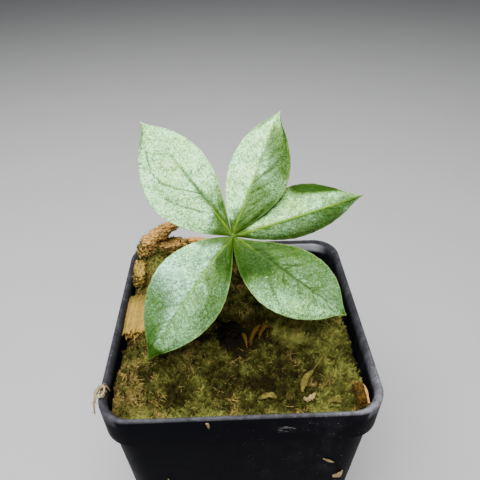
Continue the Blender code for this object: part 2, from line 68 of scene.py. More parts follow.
# The plant's own places, as in the frame: the hub in metres and the others in millimetres.
HUB = Vector((-1.0, 3.0, 104.0)) * MM
BLADE_LEAN = math.radians(45)
PETIOLE_ROUTE = ((-12.0, 5.0, 57.5), (-11.5, 5.0, 63.5), (-8.9, 5.0, 74.0), (-5.2, 4.8, 86.0),
                 (-2.2, 4.4, 97.0), (-1.1, 3.4, 103.2))
PIT_CENTRE = (-3.2, -0.6)
MEDIUM_TOP = 64.3

# Half the width inside the pot's wall and the radius of the corners there, in millimetres.
INNER_HALF = 38.0
INNER_CORNER = 7.6

# Where the moss stands higher or has a hollow, and where it is fresher or browner: by how much, where
# across and along, and how wide and how long, in millimetres.
MOSS_RELIEF = ((2.2, -36, -24, 5, 12), (1.5, -37, 20, 4, 10), (2.2, -29, 24, 5, 10),
               (-3.0, -36.5, -5.0, 2.5, 2.5), (-2.5, -37.0, -14.0, 2.0, 2.0), (-3.5, -36.2, -34.6, 1.6, 1.6),
               (-1.5, 3.0, -3.0, 3.0, 3.0), (-3.0, -2.0, -7.0, 3.6, 3.6), (-1.0, 8.0, -3.0, 3.0, 3.0))
# Of these, the two darker spots round the pit are painted shade, and the lighter spot at (24, 1) is painted
# light that lifts the moss under the leaf.
MOSS_FRESHNESS_AND_PAINTED_LIGHT = ((0.6, 20, -6.5, 3.5, 2.2), (0.26, 31, -14, 8, 16), (-0.36, 9, -24, 11, 10),
                  (0.2, -17, -10, 7, 4), (-0.16, -20, -22, 10, 5), (0.3, 24, 1, 12, 5),
                  (-0.3, -1.2, -1.6, 8, 8), (-0.6, -2, -6, 5, 4), (0.42, -28, 30, 9, 9), (0.25, 13, -2, 4, 4))

# Each leaflet: the bearing of its midrib in the blade's plane, its length, each half's reach from the
# midrib with where it is widest and how full its base is, the midrib's sideways turn, its rise at the
# hub and its arch, the fold along the midrib, the rounding of each half and the ripple of its edge.
# Then its marks: how far the midrib lies aside, how far along it is paler than the blade and how far
# beyond that it shows as a darker line, and for the left and the right half how much green shows along
# the midrib, how pale the margin is and how much bluer the half is (below zero it is yellower).
LEAFLETS = {
    "upper_left": dict(bearing=127, length=48.0, left=(14.2, 0.47, 1.0), right=(8.5, 0.56, 1.4),
                       turn=4, rise=8, arch=22, fold=0.12, crown=0.25, ripple=0.35,
                       aside=0.0, pale_until=0.24, dark_until=0.85,
                       green=(0.5, 0.4), margin=(0.6, 0.5), cool=(0.0, 0.0)),
    "upper_right": dict(bearing=68, length=43.0, left=(8.9, 0.52, 1.0), right=(10.0, 0.49, 1.25),
                        turn=0, rise=12, arch=24, fold=0.0, crown=0.25, ripple=0.2,
                        aside=-0.5, pale_until=0.5, dark_until=0.85,
                        green=(0.15, 0.2), margin=(0.6, 0.6), cool=(0.0, -0.2)),
    "right": dict(bearing=17, length=43.5, left=(11.0, 0.55, 1.45), right=(6.0, 0.51, 1.1),
                  turn=3, rise=2, arch=14, fold=-0.22, crown=0.35, ripple=0.25,
                  aside=0.1, pale_until=0.85, dark_until=0.85,
                  green=(0.1, 0.3), margin=(0.8, 0.15), cool=(-0.5, 0.0)),
    "lower_right": dict(bearing=-36, length=42.5, left=(9.9, 0.59, 1.45), right=(11.7, 0.48, 0.9),
                        turn=3, rise=4, arch=22, fold=0.1, crown=0.25, ripple=0.55,
                        aside=-0.4, pale_until=0.16, dark_until=1.08,
                        green=(0.45, 0.25), margin=(0.5, 0.8), cool=(0.0, 0.0)),
    "lower_left": dict(bearing=-126, length=45.5, left=(10.5, 0.51, 1.1), right=(12.7, 0.47, 1.0),
                       turn=8, rise=5, arch=24, fold=0.08, crown=0.28, ripple=0.3,
                       aside=0.2, pale_until=0.62, dark_until=0.85,
                       green=(0.05, 0.25), margin=(0.9, 0.3), cool=(0.0, 1.0)),
}
FRAME_STATIONS = 16

# How silvery each half of a leaflet is, and its patches: where along the midrib, where across, how
# far they reach both ways and how much silver they add or take away. The silver is partly painted
# sheen, and the darker halves and some darker patches are painted shade, as on the curled upper
# margin of the right leaflet.
SILVER_SHEEN_AND_SHADE = {
    "upper_left": (0.95, 0.97, (
        (0.02, 0.0, 0.085, 3.0, -1.3), (0.15, 0.65, 0.08, 0.8, -0.62), (0.26, 0.65, 0.08, 0.5, -0.36),
        (0.22, 0.12, 0.12, 0.16, -0.25), (0.13, -0.1, 0.06, 0.3, -0.35), (0.13, -0.7, 0.05, 0.5, -0.15),
        (0.33, 0.95, 0.08, 0.2, -0.25), (0.97, -0.4, 0.07, 1.0, -0.22), (0.93, -0.95, 0.14, 0.35, -0.5),
        (0.15, 0.9, 0.1, 0.3, -0.2))),
    "upper_right": (1.0, 0.5, (
        (0.02, 0.0, 0.085, 3.0, -1.3), (0.14, 0.4, 0.08, 0.9, -0.2), (0.14, -0.25, 0.07, 0.3, -0.3),
        (0.55, 0.12, 0.1, 0.14, 0.34), (0.46, 0.5, 0.07, 0.7, 0.1), (0.3, 0.72, 0.1, 0.16, 0.12),
        (0.4, 0.92, 0.18, 0.2, 0.1), (0.72, 0.5, 0.1, 0.5, -0.12), (0.92, 0.35, 0.1, 0.5, 0.24),
        (0.92, 1.0, 0.14, 0.3, -0.42), (0.85, -0.05, 0.18, 0.15, -0.2), (0.93, -0.95, 0.15, 0.35, -0.5),
        (0.24, 0.95, 0.12, 0.3, -0.4), (0.68, 0.85, 0.18, 0.35, -0.16), (0.33, 0.28, 0.09, 0.4, -0.13))),
    "right": (0.8, 0.26, (
        (0.02, 0.0, 0.075, 3.0, -1.2), (0.7, -0.97, 0.17, 0.4, -1.5), (0.56, -0.65, 0.06, 0.2, -0.2),
        (0.2, -0.75, 0.1, 0.35, -0.2), (0.38, -0.92, 0.12, 0.2, 0.14), (0.42, 0.32, 0.24, 0.42, 0.36),
        (0.16, 0.4, 0.06, 0.3, 0.22), (0.25, 0.65, 0.1, 0.2, 0.15), (0.36, 0.06, 0.36, 0.07, -0.35),
        (0.5, 1.0, 0.34, 0.22, -0.12), (0.82, -0.1, 0.12, 0.2, -0.3), (0.95, -0.3, 0.1, 1.0, -0.25),
        (0.88, 0.8, 0.08, 0.4, 0.3))),
    "lower_right": (0.28, 0.46, (
        (0.02, 0.0, 0.06, 3.0, -0.5), (0.05, 0.85, 0.2, 0.6, -1.0), (0.1, 0.15, 0.24, 0.55, -1.05),
        (0.18, -0.8, 0.14, 0.5, -0.18), (0.65, -0.5, 0.28, 0.8, 0.17), (0.86, -0.6, 0.1, 0.6, 0.14),
        (0.56, -0.1, 0.08, 0.1, 0.2), (0.66, 0.85, 0.34, 0.5, 0.42), (0.84, 0.3, 0.14, 0.5, 0.18),
        (0.45, 0.1, 0.18, 0.15, -0.1), (0.99, 0.2, 0.045, 0.9, -0.25), (0.45, -0.9, 0.25, 0.3, -0.12))),
    "lower_left": (0.42, 0.88, (
        (0.0, 0.0, 0.09, 3.0, -0.6), (0.14, -0.65, 0.13, 0.8, -0.4), (0.14, -0.12, 0.07, 0.22, -0.2),
        (0.49, -0.27, 0.13, 0.22, 0.26), (0.74, -0.4, 0.17, 0.8, 0.3), (0.66, -0.9, 0.12, 0.2, 0.12),
        (0.45, -0.08, 0.3, 0.1, 0.14), (0.79, 0.82, 0.27, 0.88, -0.57), (0.13, 0.9, 0.06, 0.45, -0.5),
        (0.25, 0.4, 0.05, 0.3, -0.12), (0.57, 0.7, 0.1, 0.4, -0.12), (1.0, 0.0, 0.1, 2.0, -0.9),
        (0.72, 0.3, 0.16, 0.3, -0.12), (0.05, 0.7, 0.08, 0.5, -0.3), (0.86, 0.5, 0.09, 0.6, -0.15))),
}

# Single side veins that show as a thin dark line, through points along and across the leaflet.
DARK_VEINS = {
    "upper_left": (((0.34, -0.02), (0.4, -0.18), (0.47, -0.38), (0.56, -0.56), (0.66, -0.65), (0.8, -0.6)),
                   ((0.24, -0.3), (0.36, -0.55), (0.46, -0.68))),
    "upper_right": (((0.4, 0.02), (0.48, 0.2), (0.56, 0.42), (0.63, 0.55)),),
    "lower_right": (((0.36, 0.34), (0.44, 0.55), (0.55, 0.78)), ((0.4, -0.15), (0.46, -0.3), (0.53, -0.5))),
}

# The pale edge of a dried drop on one leaflet, given as the side veins are.
DROP_EDGES = {"lower_left": ((0.42, -0.04), (0.38, -0.1), (0.375, -0.2), (0.4, -0.36), (0.45, -0.47),
                             (0.53, -0.54), (0.6, -0.56))}

# Tiny pale grains on the leaf: the leaflet, where along it and where across.
LEAF_GRAINS = (("lower_left", 0.545, -0.4), ("lower_right", 0.36, 0.4))

# The slivers by the pit and the flakes in front, in millimetres: the route, half the width along it
# and how far the strip curls, in degrees.
SLIVERS = (
    (((1.3, -3.2, 68.2), (1.7, -5.6, 70.6), (2.3, -8.0, 70.8), (2.6, -10.6, 69.0)),
     (0.4, 0.95, 0.8, 0.15), 95),
    (((3.9, -8.4, 68.0), (4.3, -6.4, 70.2), (5.6, -4.0, 71.2), (7.2, -1.8, 70.6)),
     (0.3, 0.9, 1.1, 0.6), 90),
    (((6.6, -6.0, 68.0), (7.7, -3.8, 70.2), (9.4, -2.2, 70.7), (11.8, -2.2, 69.0)),
     (0.4, 1.0, 0.9, 0.3), 95),
)
FLAKES = (
    (((18.3, -29.6, 68.9), (19.0, -30.8, 69.7), (20.4, -30.4, 70.4), (21.6, -28.9, 69.8)),
     (0.5, 1.1, 1.2, 0.4), 80),
    (((5.4, -29.9, 69.4), (7.0, -29.3, 70.1), (8.8, -29.3, 70.1), (10.2, -29.8, 69.5)),
     (0.4, 1.0, 1.1, 0.5), 35),
    (((24.3, -32.2, 69.2), (25.8, -31.6, 70.0), (27.2, -31.6, 70.0), (28.8, -32.0, 69.4)),
     (0.4, 0.8, 0.9, 0.4), 35),
)

# The dry leaf's stalk and blade, and the strand that loops over the lip.
DRY_STALK = ((28.6, -12.2, 70.0), (27.4, -14.4, 70.7), (25.0, -17.6, 70.6), (22.3, -20.9, 70.2))
DRY_BLADE = ((22.4, -20.6, 69.8), (20.2, -22.8, 70.3), (18.7, -25.6, 70.4), (17.9, -28.3, 69.6))
STRAND = ((-37.6, -28.4, 73.2), (-38.3, -28.5, 75.4), (-39.1, -28.8, 76.4), (-40.1, -29.4, 76.5),
          (-40.4, -31.0, 76.0), (-39.9, -32.3, 75.9), (-38.8, -32.0, 76.1), (-38.3, -30.6, 76.3),
          (-38.9, -29.2, 76.5), (-40.2, -30.6, 75.9), (-40.7, -33.0, 74.8), (-40.9, -34.6, 71.6))

# The crumbs on the front of the pot: three points and the radius at each.
POT_CRUMBS = (
    ((-9.6, -39.95, 73.5), (-9.3, -40.15, 72.3), (-9.2, -40.05, 70.9), (0.42, 0.4, 0.1)),
    ((24.2, -37.6, 49.4), (26.0, -37.75, 48.4), (27.8, -37.5, 47.0), (0.2, 0.42, 0.12)),
    ((31.2, -37.1, 41.2), (30.4, -37.25, 39.2), (28.6, -36.95, 37.8), (0.15, 0.75, 0.5)),
    ((-23.4, -37.1, 40.4), (-23.2, -37.25, 39.6), (-22.9, -37.05, 38.8), (0.15, 0.35, 0.15)),
)


# Settings that a user would change.

Length = partial(FloatProperty, unit="LENGTH")
Colour = partial(FloatVectorProperty, size=3, min=0, max=1, subtype="COLOR")


class YamPotSettings(PropertyGroup):
    """Sizes and colours of the nursery pot."""
    width: Length(name="Width", description="Width across the collar", default=0.08, min=0.05, max=0.15)
    height: Length(name="Height", description="Height of the pot", default=0.075, min=0.05, max=0.15)
    collar: Length(name="Collar", description="Height of the collar", default=0.012, min=0.004, max=0.03)
    wall: Length(name="Wall", description="Thickness of the wall at the lip",
                 default=0.0013, min=0.0006, max=0.003)
    corner: Length(name="Corner", description="Radius of the corners", default=0.009, min=0.002, max=0.02)
    colour: Colour(name="Plastic", description="Colour of the moulded plastic",
                   default=(0.0025, 0.0025, 0.004))
    # This colour also makes the painted highlights on the lip and inside the back right corner, and the
    # painted light on the right side.
    dust_and_sheen_colour: Colour(name="Dust", description="Colour of the dust on the plastic", default=(0.036, 0.036, 0.04))


class YamLeafSettings(PropertyGroup):
    """Thickness and colours of the leaf and its stalk."""
    thickness: Length(name="Thickness", description="Thickness of the blade at the midribs",
                      default=0.00045, min=0.0002, max=0.001)
    deep: Colour(name="Deep green", description="Colour where the blade has no silver",
                 default=(0.0115, 0.041, 0.0015))
    green: Colour(name="Mid green", description="Colour where the silver is thin",
                  default=(0.042, 0.1, 0.014))
    haze: Colour(name="Haze", description="Colour where silver grains and green mix",
                 default=(0.1, 0.205, 0.08))
    # The silvery grains stand partly for painted sheen of the key light.
    silver_and_sheen: Colour(name="Silver", description="Colour of the silver grains", default=(0.27, 0.6, 0.225))
    # The brightest grains, which are painted sheen, and the colour of the painted glints.
    painted_glint: Colour(name="Sparkle", description="Colour of the brightest grains", default=(0.62, 0.95, 0.55))
    vein: Colour(name="Vein", description="Colour of the midribs", default=(0.14, 0.25, 0.01))
    hub: Colour(name="Hub", description="Colour round the hub of the leaf", default=(0.03, 0.068, 0.0015))
    margin: Colour(name="Margin", description="Colour of the thin pale margin", default=(0.27, 0.4, 0.09))
    stalk: Colour(name="Stalk", description="Colour of the petiole", default=(0.02, 0.025, 0.008))


class YamMossSettings(PropertyGroup):
    """Density and colours of the moss and of what lies under it."""
    spacing: Length(name="Spacing", description="Distance between the moss shoots",
                    default=0.00066, min=0.0004, max=0.004)
    strands: IntProperty(name="Strands", description="Number of dry strands in the moss",
                         default=620, min=0, max=2000)
    dark: Colour(name="Dark moss", description="Colour of the old moss", default=(0.015, 0.012, 0.0015))
    olive: Colour(name="Olive moss", description="Colour of most of the moss", default=(0.048, 0.05, 0.0085))
    fresh: Colour(name="Fresh moss", description="Colour of the young shoots", default=(0.19, 0.195, 0.04))
    dry: Colour(name="Dry moss", description="Colour of the dry strands", default=(0.22, 0.155, 0.042))
    peat: Colour(name="Peat", description="Colour of the damp growing medium",
                 default=(0.007, 0.0045, 0.0018))


class YamScrapSettings(PropertyGroup):
    """Colours of the bark, wood and dry leaf on the moss."""
    orange: Colour(name="Orange bark", description="Colour of the bark at the back",
                   default=(0.45, 0.245, 0.07))
    tan: Colour(name="Tan wood", description="Colour of the split wood and the coir",
                default=(0.225, 0.147, 0.027))
    brown: Colour(name="Brown bark", description="Colour of the slivers by the pit",
                  default=(0.053, 0.028, 0.0026))
    straw: Colour(name="Straw", description="Colour of the dry leaf and two of the flakes",
                  default=(0.08, 0.066, 0.0115))


class YamStageSettings(PropertyGroup):
    """Floor and lights of the studio."""
    floor: Colour(name="Floor", description="Colour of the floor", default=(0.3, 0.3, 0.3))
    key: FloatProperty(name="Key light", description="Power of the large light overhead",
                       default=12.5, min=0, max=100, unit="POWER")
    fill: FloatProperty(name="Fill", description="Strength of the light from all round",
                        default=0.22, min=0, max=5)


# Work on objects.

def start():
    """Leave edit mode and select nothing."""
    if bpy.context.object and bpy.context.object.mode != "OBJECT":
        bpy.ops.object.mode_set(mode="OBJECT")
    bpy.ops.object.select_all(action="DESELECT")


def make_active(piece):
    """Select one object alone."""
    start()
    piece.select_set(True)
    bpy.context.view_layer.objects.active = piece
    return piece


@contextmanager
def editing(piece):
    """Edit mode on one object, with its whole mesh selected."""
    make_active(piece)
    bpy.ops.object.mode_set(mode="EDIT")
    bpy.ops.mesh.select_all(action="SELECT")
    yield
    bpy.ops.object.mode_set(mode="OBJECT")


def linked(name, data):
    """A new object in the scene."""
    made = bpy.data.objects.new(name, data)
    bpy.context.scene.collection.objects.link(made)
    return made


def apply_modifier(piece, kind, **settings):
    """Add a modifier, set it and apply it."""
    make_active(piece)
    modifier = piece.modifiers.new(kind.lower(), kind)
    for key, value in settings.items():
        setattr(modifier, key, value)
    bpy.ops.object.modifier_apply(modifier=modifier.name)


def join(pieces):
    """Join several objects into the first."""
    start()
    for piece in pieces:
        piece.select_set(True)
    bpy.context.view_layer.objects.active = pieces[0]
    bpy.ops.object.join()
    return pieces[0]


def place(piece):
    """Put the object's own place, turn and size into its mesh."""
    make_active(piece)
    bpy.ops.object.transform_apply(location=True, rotation=True, scale=True)
    return piece


def smooth(piece, angle=180):
    """Shade a piece smooth across edges that are flatter than an angle in degrees."""
    make_active(piece)
    if angle < 180:
        bpy.ops.object.shade_smooth_by_angle(angle=math.radians(angle))
    else:
        bpy.ops.object.shade_smooth()
    return piece


def dress(piece, name, slot, finishes, *nodes):
    """Name a finished piece, give it its finish and let it ride on the frame."""
    place(piece)
    piece.name = name
    piece.data.name = name
    piece.data.materials.clear()
    for finish in finishes if isinstance(finishes, list) else [finishes]:
        piece.data.materials.append(finish)
    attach(piece, "root")
    if nodes:
        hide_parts(*nodes)
    return piece


def merged_copy(node):
    """A copy of a CAD node with its loose triangles merged."""
    piece = linked(node + "_copy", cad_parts[node].data.copy())
    with editing(piece):
        bpy.ops.mesh.remove_doubles(threshold=MERGE_WITHIN)
    return piece


def roughen(piece, grain, depth, heading=0.0):
    """Raise and lower a surface by clouds whose grain is a length along each axis."""
    guide = linked("grain_guide", None)
    guide.scale = grain
    guide.rotation_euler.z = math.radians(heading)
    bpy.context.view_layer.update()
    texture = bpy.data.textures.new("grain", "CLOUDS")
    texture.noise_scale = 1.0
    apply_modifier(piece, "DISPLACE", texture=texture, texture_coords="OBJECT",
                   texture_coords_object=guide, strength=depth, mid_level=0.5)
    bpy.data.objects.remove(guide)
    bpy.data.textures.remove(texture)


def weathered(node, grain, heading, depth):
    """A fine rough piece in the place and shape of a CAD scrap, with coarse and fine grain."""
    piece = merged_copy(node)
    apply_modifier(piece, "REMESH", mode="VOXEL", voxel_size=0.2 * MM)
    apply_modifier(piece, "SMOOTH", iterations=3)
    for size, share in ((1, 1), (0.4, 0.7)):
        roughen(piece, [length * size * MM for length in grain], depth * share * MM, heading)
    return smooth(piece)


def swept(points, radii, sides, segments):
    """A round strand along smooth points, as a mesh."""
    start()
    bpy.ops.curve.primitive_bezier_curve_add(location=(0, 0, 0))
    curve = bpy.context.object.data
    curve.splines.clear()
    spline = curve.splines.new("BEZIER")
    spline.bezier_points.add(len(points) - 1)
    for bezier, point, radius in zip(spline.bezier_points, points, radii):
        bezier.co = Vector(point) * MM
        bezier.radius = radius
        bezier.handle_left_type = bezier.handle_right_type = "AUTO"
    curve.dimensions = "3D"
    curve.resolution_u = segments
    curve.bevel_depth = MM
    curve.bevel_resolution = sides
    curve.use_fill_caps = True
    bpy.ops.object.convert(target="MESH")
    strand = bpy.context.object
    with editing(strand):
        bpy.ops.mesh.remove_doubles(threshold=MERGE_WITHIN)
        bpy.ops.mesh.normals_make_consistent(inside=False)
    return strand


def through(points, s):
    """Smooth places along a few points, for each part s of the way."""
    points = np.array(points, dtype=float)
    ends = np.vstack([2 * points[0] - points[1], points, 2 * points[-1] - points[-2]])
    step = np.clip(s * (len(points) - 1), 0, len(points) - 1 - 1e-9)
    i = step.astype(int)
    f = (step - i)[:, None]
    a, b, c, d = ends[i], ends[i + 1], ends[i + 2], ends[i + 3]
    return b + 0.5 * f * (c - a + f * (2 * a - 5 * b + 4 * c - d + f * (3 * (b - c) + d - a)))


def laid_grid(rows, lanes):
    """A flat grid with the row and the lane of each of its points."""
    start()
    bpy.ops.mesh.primitive_grid_add(x_subdivisions=rows, y_subdivisions=lanes, size=2)
    piece = bpy.context.object
    flat = np.array([vertex.co for vertex in piece.data.vertices])
    row = np.rint((flat[:, 0] + 1) / 2 * rows).astype(int)
    lane = np.rint((flat[:, 1] + 1) / 2 * lanes).astype(int)
    return piece, row, lane


def lay(piece, places):
    """Move a mesh's points to places in metres."""
    piece.data.vertices.foreach_set("co", places.astype(np.float32).ravel())
    piece.data.update()


def curled_strip(route, widths, curl, ragged, thick, seed, twist=0.0):
    """A thin strip along a route in millimetres, curled down across it, with uneven edges."""
    rows, lanes = 48, 12
    piece, row, lane = laid_grid(rows, lanes)
    s = np.linspace(0, 1, rows + 1)
    chance = np.random.default_rng(seed)
    spots = through(route, s)
    ahead = np.gradient(spots, axis=0)
    ahead /= np.linalg.norm(ahead, axis=1)[:, None]
    side = np.cross(ahead, (0.0, 0.0, 1.0))
    side /= np.linalg.norm(side, axis=1)[:, None]
    lift = np.cross(side, ahead)
    cos, sin = (work((np.radians(twist) * s)[:, None]) for work in (np.cos, np.sin))
    side, lift = side * cos + lift * sin, lift * cos - side * sin
    t = np.linspace(-1, 1, lanes + 1)
    width = np.interp(s, np.linspace(0, 1, len(widths)), widths)
    jitter = np.convolve(chance.normal(0, 1, rows + 3), (0.3, 0.4, 0.3), "valid")
    uneven = 1 + ragged * np.outer(jitter, t ** 2) + 0.5 * ragged * np.outer(np.roll(jitter, 9), t)
    bend = np.radians(curl)
    across = width[:, None] * uneven * np.sin(bend * t) / bend
    down = width[:, None] * uneven * (1 - np.cos(bend * t)) / bend
    down = down + 0.05 * chance.normal(0, 1, across.shape)
    places = spots[:, None] + side[:, None] * across[..., None] - lift[:, None] * down[..., None]
    lay(piece, places[row, lane] * MM)
    apply_modifier(piece, "SOLIDIFY", thickness=thick * MM, offset=0.0)
    return smooth(piece)


def split_chip(centre, size, heading, pitch, rough, seed, slant=0.0, outline=0.0):
    """A split piece of wood in millimetres: flat sides, grooves along its grain and uneven ends."""
    start()
    bpy.ops.mesh.primitive_cube_add(size=1, location=(0, 0, 0))
    chip = bpy.context.object
    chip.scale = [side * MM for side in size]
    place(chip)
    with editing(chip):
        bpy.ops.mesh.subdivide(number_cuts=40)

    def chance(x, y, z):
        return noise.noise(Vector((x, y, z)) + Vector((seed, 2.0 * seed, 0)))

    for vertex in chip.data.vertices:
        x, y, z = vertex.co / MM
        end = (abs(x) / size[0] * 2) ** 8
        groove = chance(x * 0.08, y * 1.9, z * 1.9)
        fine = chance(x * 0.3, y * 5.0, z * 5.0)
        torn = chance(math.copysign(7, x), y * 1.1, z * 1.3)
        torn += 0.6 * chance(math.copysign(3, x), y * 3.1, z * 2.3)
        wavy = chance(x * 0.35, math.copysign(5, y), z * 0.4)
        vertex.co.x += (math.copysign(end * (torn - 0.4) * 1.9 * rough, x) + end * slant * y) * MM
        vertex.co.z += math.copysign((groove * 0.5 + fine * 0.18) * rough * MM, z)
        vertex.co.z -= 0.5 * rough * end * MM * max(0.0, z / size[2])
        vertex.co.y += math.copysign((groove * 0.4 + fine * 0.15) * rough * MM, y)
        vertex.co.y *= 1 - 0.25 * (x / size[0]) ** 2 + 0.12 * x / size[0]
        vertex.co.y += math.copysign(outline * wavy * MM, y)
    chip.rotation_euler = (0, -math.radians(pitch), math.radians(heading))
    chip.location = Vector(centre) * MM
    return smooth(place(chip), 40)


def on_surface(piece, count, chance):
    """Random spots on a piece, spread by area, each with the surface's direction there."""
    faces = list(piece.data.polygons)
    picks = chance.choices(faces, weights=[face.area for face in faces], k=count)
    return [(face.center.copy(), face.normal.copy()) for face in picks]


def take_shape(model):
    """The points and triangles of a model that is copied many times; the model is removed."""
    with editing(model):
        bpy.ops.mesh.quads_convert_to_tris()
    points = np.array([vertex.co for vertex in model.data.vertices])
    faces = np.array([polygon.vertices for polygon in model.data.polygons])
    bpy.data.objects.remove(model)
    return points, faces


def crumb_shape(seed):
    """A crumb about a millimetre across, as points and triangles."""
    start()
    bpy.ops.mesh.primitive_ico_sphere_add(subdivisions=1, radius=0.5 * MM)
    crumb = bpy.context.object
    with editing(crumb):
        bpy.ops.transform.vertex_random(offset=0.3 * MM, uniform=0.3, seed=seed)
    crumb.scale = (1.3, 0.9, 0.7)
    return take_shape(place(crumb))


def stood(spot, size, turn=0.0, towards=None, axes="ZY"):
    """The matrix of a copy: its place in metres, size and turn, and where one of its axes points."""
    matrix = Matrix.Translation(spot)
    if towards is not None:
        matrix = matrix @ towards.to_track_quat(*axes).to_matrix().to_4x4()
    return matrix @ Matrix.Rotation(turn, 4, "Z") @ Matrix.Scale(size, 4)


def copies(name, shapes, places):
    """One mesh of many copies: each place is a shape's number, a matrix, a tone and a dryness."""
    points, faces, marks = [], [], []
    total = 0
    for kind, matrix, tone, dryness in places:
        shape, triangles = shapes[kind]
        turn = np.array(matrix.to_3x3())
        points.append(shape @ turn.T + np.array(matrix.translation))
        faces.append(triangles + total)
        marks.append(np.tile((tone, dryness), (len(shape), 1)))
        total += len(shape)
    mesh = bpy.data.meshes.new(name)
    mesh.from_pydata(np.concatenate(points).tolist(), [], np.concatenate(faces).tolist())
    marks = np.concatenate(marks)
    mark(mesh, "tone", marks[:, 0])
    mark(mesh, "dryness", marks[:, 1])
    return linked(name, mesh)


def mark(mesh, name, values):
    """Write one number for each vertex."""
    layer = mesh.attributes.new(name, "FLOAT", "POINT")
    layer.data.foreach_set("value", np.asarray(values, dtype=np.float32))


# Work on materials.

class Tone:
    """What a shader node gives, ready for sums and products with numbers and other tones."""

    def __init__(self, finish, socket):
        self.finish, self.socket = finish, socket

    def __add__(self, other):
        return self.finish.math("ADD", self, other)

    def __sub__(self, other):
        return self.finish.math("SUBTRACT", self, other)

    def __mul__(self, other):
        return self.finish.math("MULTIPLY", self, other)


class Finish:
    """A material put together from shader nodes. An input is a number, a colour or a tone."""

    def __init__(self, name):
        self.material = bpy.data.materials.new(name)
        self.material.use_nodes = True
        self.tree = self.material.node_tree
        self.shader = self.tree.nodes["Principled BSDF"]
        self.place = self.node("ShaderNodeTexCoord", "Object", {})

    def node(self, kind, output, inputs, **settings):
        """Add a node, feed its inputs and give its output of that name."""
        made = self.tree.nodes.new(kind)
        for key, value in settings.items():
            setattr(made, key, value)
        for key, value in inputs.items():
            self.feed(made.inputs[key], value)
        return Tone(self, made.outputs[output])

    def feed(self, socket, value):
        if isinstance(value, Tone):
            self.tree.links.new(value.socket, socket)
        elif hasattr(value, "__len__") and len(value) == 3 and socket.type == "RGBA":
            socket.default_value = (*value, 1.0)
        else:
            socket.default_value = value

    def set(self, **inputs):
        """Feed inputs of the shader; an underscore stands for a space in their names."""
        for key, value in inputs.items():
            self.feed(self.shader.inputs[key.replace("_", " ")], value)

    def done(self, colour, roughness, relief, depth, gloss=0.5):
        """Give the shader its colour, roughness and shine, and fine relief of a depth in metres."""
        bump = self.node("ShaderNodeBump", "Normal", {"Height": relief, "Strength": 1.0, "Distance": depth})
        self.set(Base_Color=colour, Roughness=roughness, Normal=bump)
        self.shader.inputs["Specular IOR Level"].default_value = gloss
        return self.material

    def axis(self, name):
        """The place along one axis, in metres."""
        return self.node("ShaderNodeSeparateXYZ", name, {"Vector": self.place})

    def mapped(self, stretch, turn=(0, 0, 0)):
        return self.node("ShaderNodeMapping", "Vector", {
            "Vector": self.place, "Scale": stretch, "Rotation": turn})

    def noise(self, size, detail=3.0, rough=0.55, where=None, warp=0.0):
        """Soft noise whose features are about that long, in metres."""
        return self.node("ShaderNodeTexNoise", "Fac", {
            "Vector": where or self.place, "Scale": 1 / size, "Detail": detail, "Roughness": rough,
            "Distortion": warp})

    def cells(self, size, output="Distance", feature="F1"):
        """Cells about that far apart, in metres."""
        return self.node("ShaderNodeTexVoronoi", output, {"Vector": self.place, "Scale": 1 / size},
                         feature=feature)

    def ramp(self, value, *stops):
        made = self.tree.nodes.new("ShaderNodeValToRGB")
        self.feed(made.inputs["Fac"], value)
        elements = made.color_ramp.elements
        elements[0].position, elements[1].position = 0.0, 1.0
        while len(elements) < len(stops):
            elements.new(0.5)
        for element, (position, colour) in zip(elements, stops):
            element.position = position
            element.color = (*colour, 1.0)
        return Tone(self, made.outputs["Color"])

    def math(self, operation, first, second=0.0, clamp=False):
        return self.node("ShaderNodeMath", "Value", {0: first, 1: second},
                         operation=operation, use_clamp=clamp)

    def between(self, value, low, high, bottom=0.0, top=1.0):
        """Map a range of a value smoothly to another range."""
        return self.node("ShaderNodeMapRange", "Result", {
            "Value": value, "From Min": low, "From Max": high, "To Min": bottom, "To Max": top},
            interpolation_type="SMOOTHSTEP")

    def near(self, spot, close, far):
        """One close to a spot and zero far from it, in millimetres."""
        away = self.node("ShaderNodeVectorMath", "Value", {0: self.place, 1: Vector(spot) * MM},
                         operation="DISTANCE")
        return self.between(away, close * MM, far * MM, 1.0, 0.0)

    def mix(self, factor, first, second, blend="MIX"):
        return self.node("ShaderNodeMix", 2, {0: factor, 6: first, 7: second},
                         data_type="RGBA", blend_type=blend)

    def marked(self, name):
        """A number that the mesh carries for each of its points."""
        return self.node("ShaderNodeAttribute", "Fac", {}, attribute_name=name)


def shaded(colour, factor):
    """A darker or lighter colour."""
    return tuple(min(1.0, channel * factor) for channel in colour)


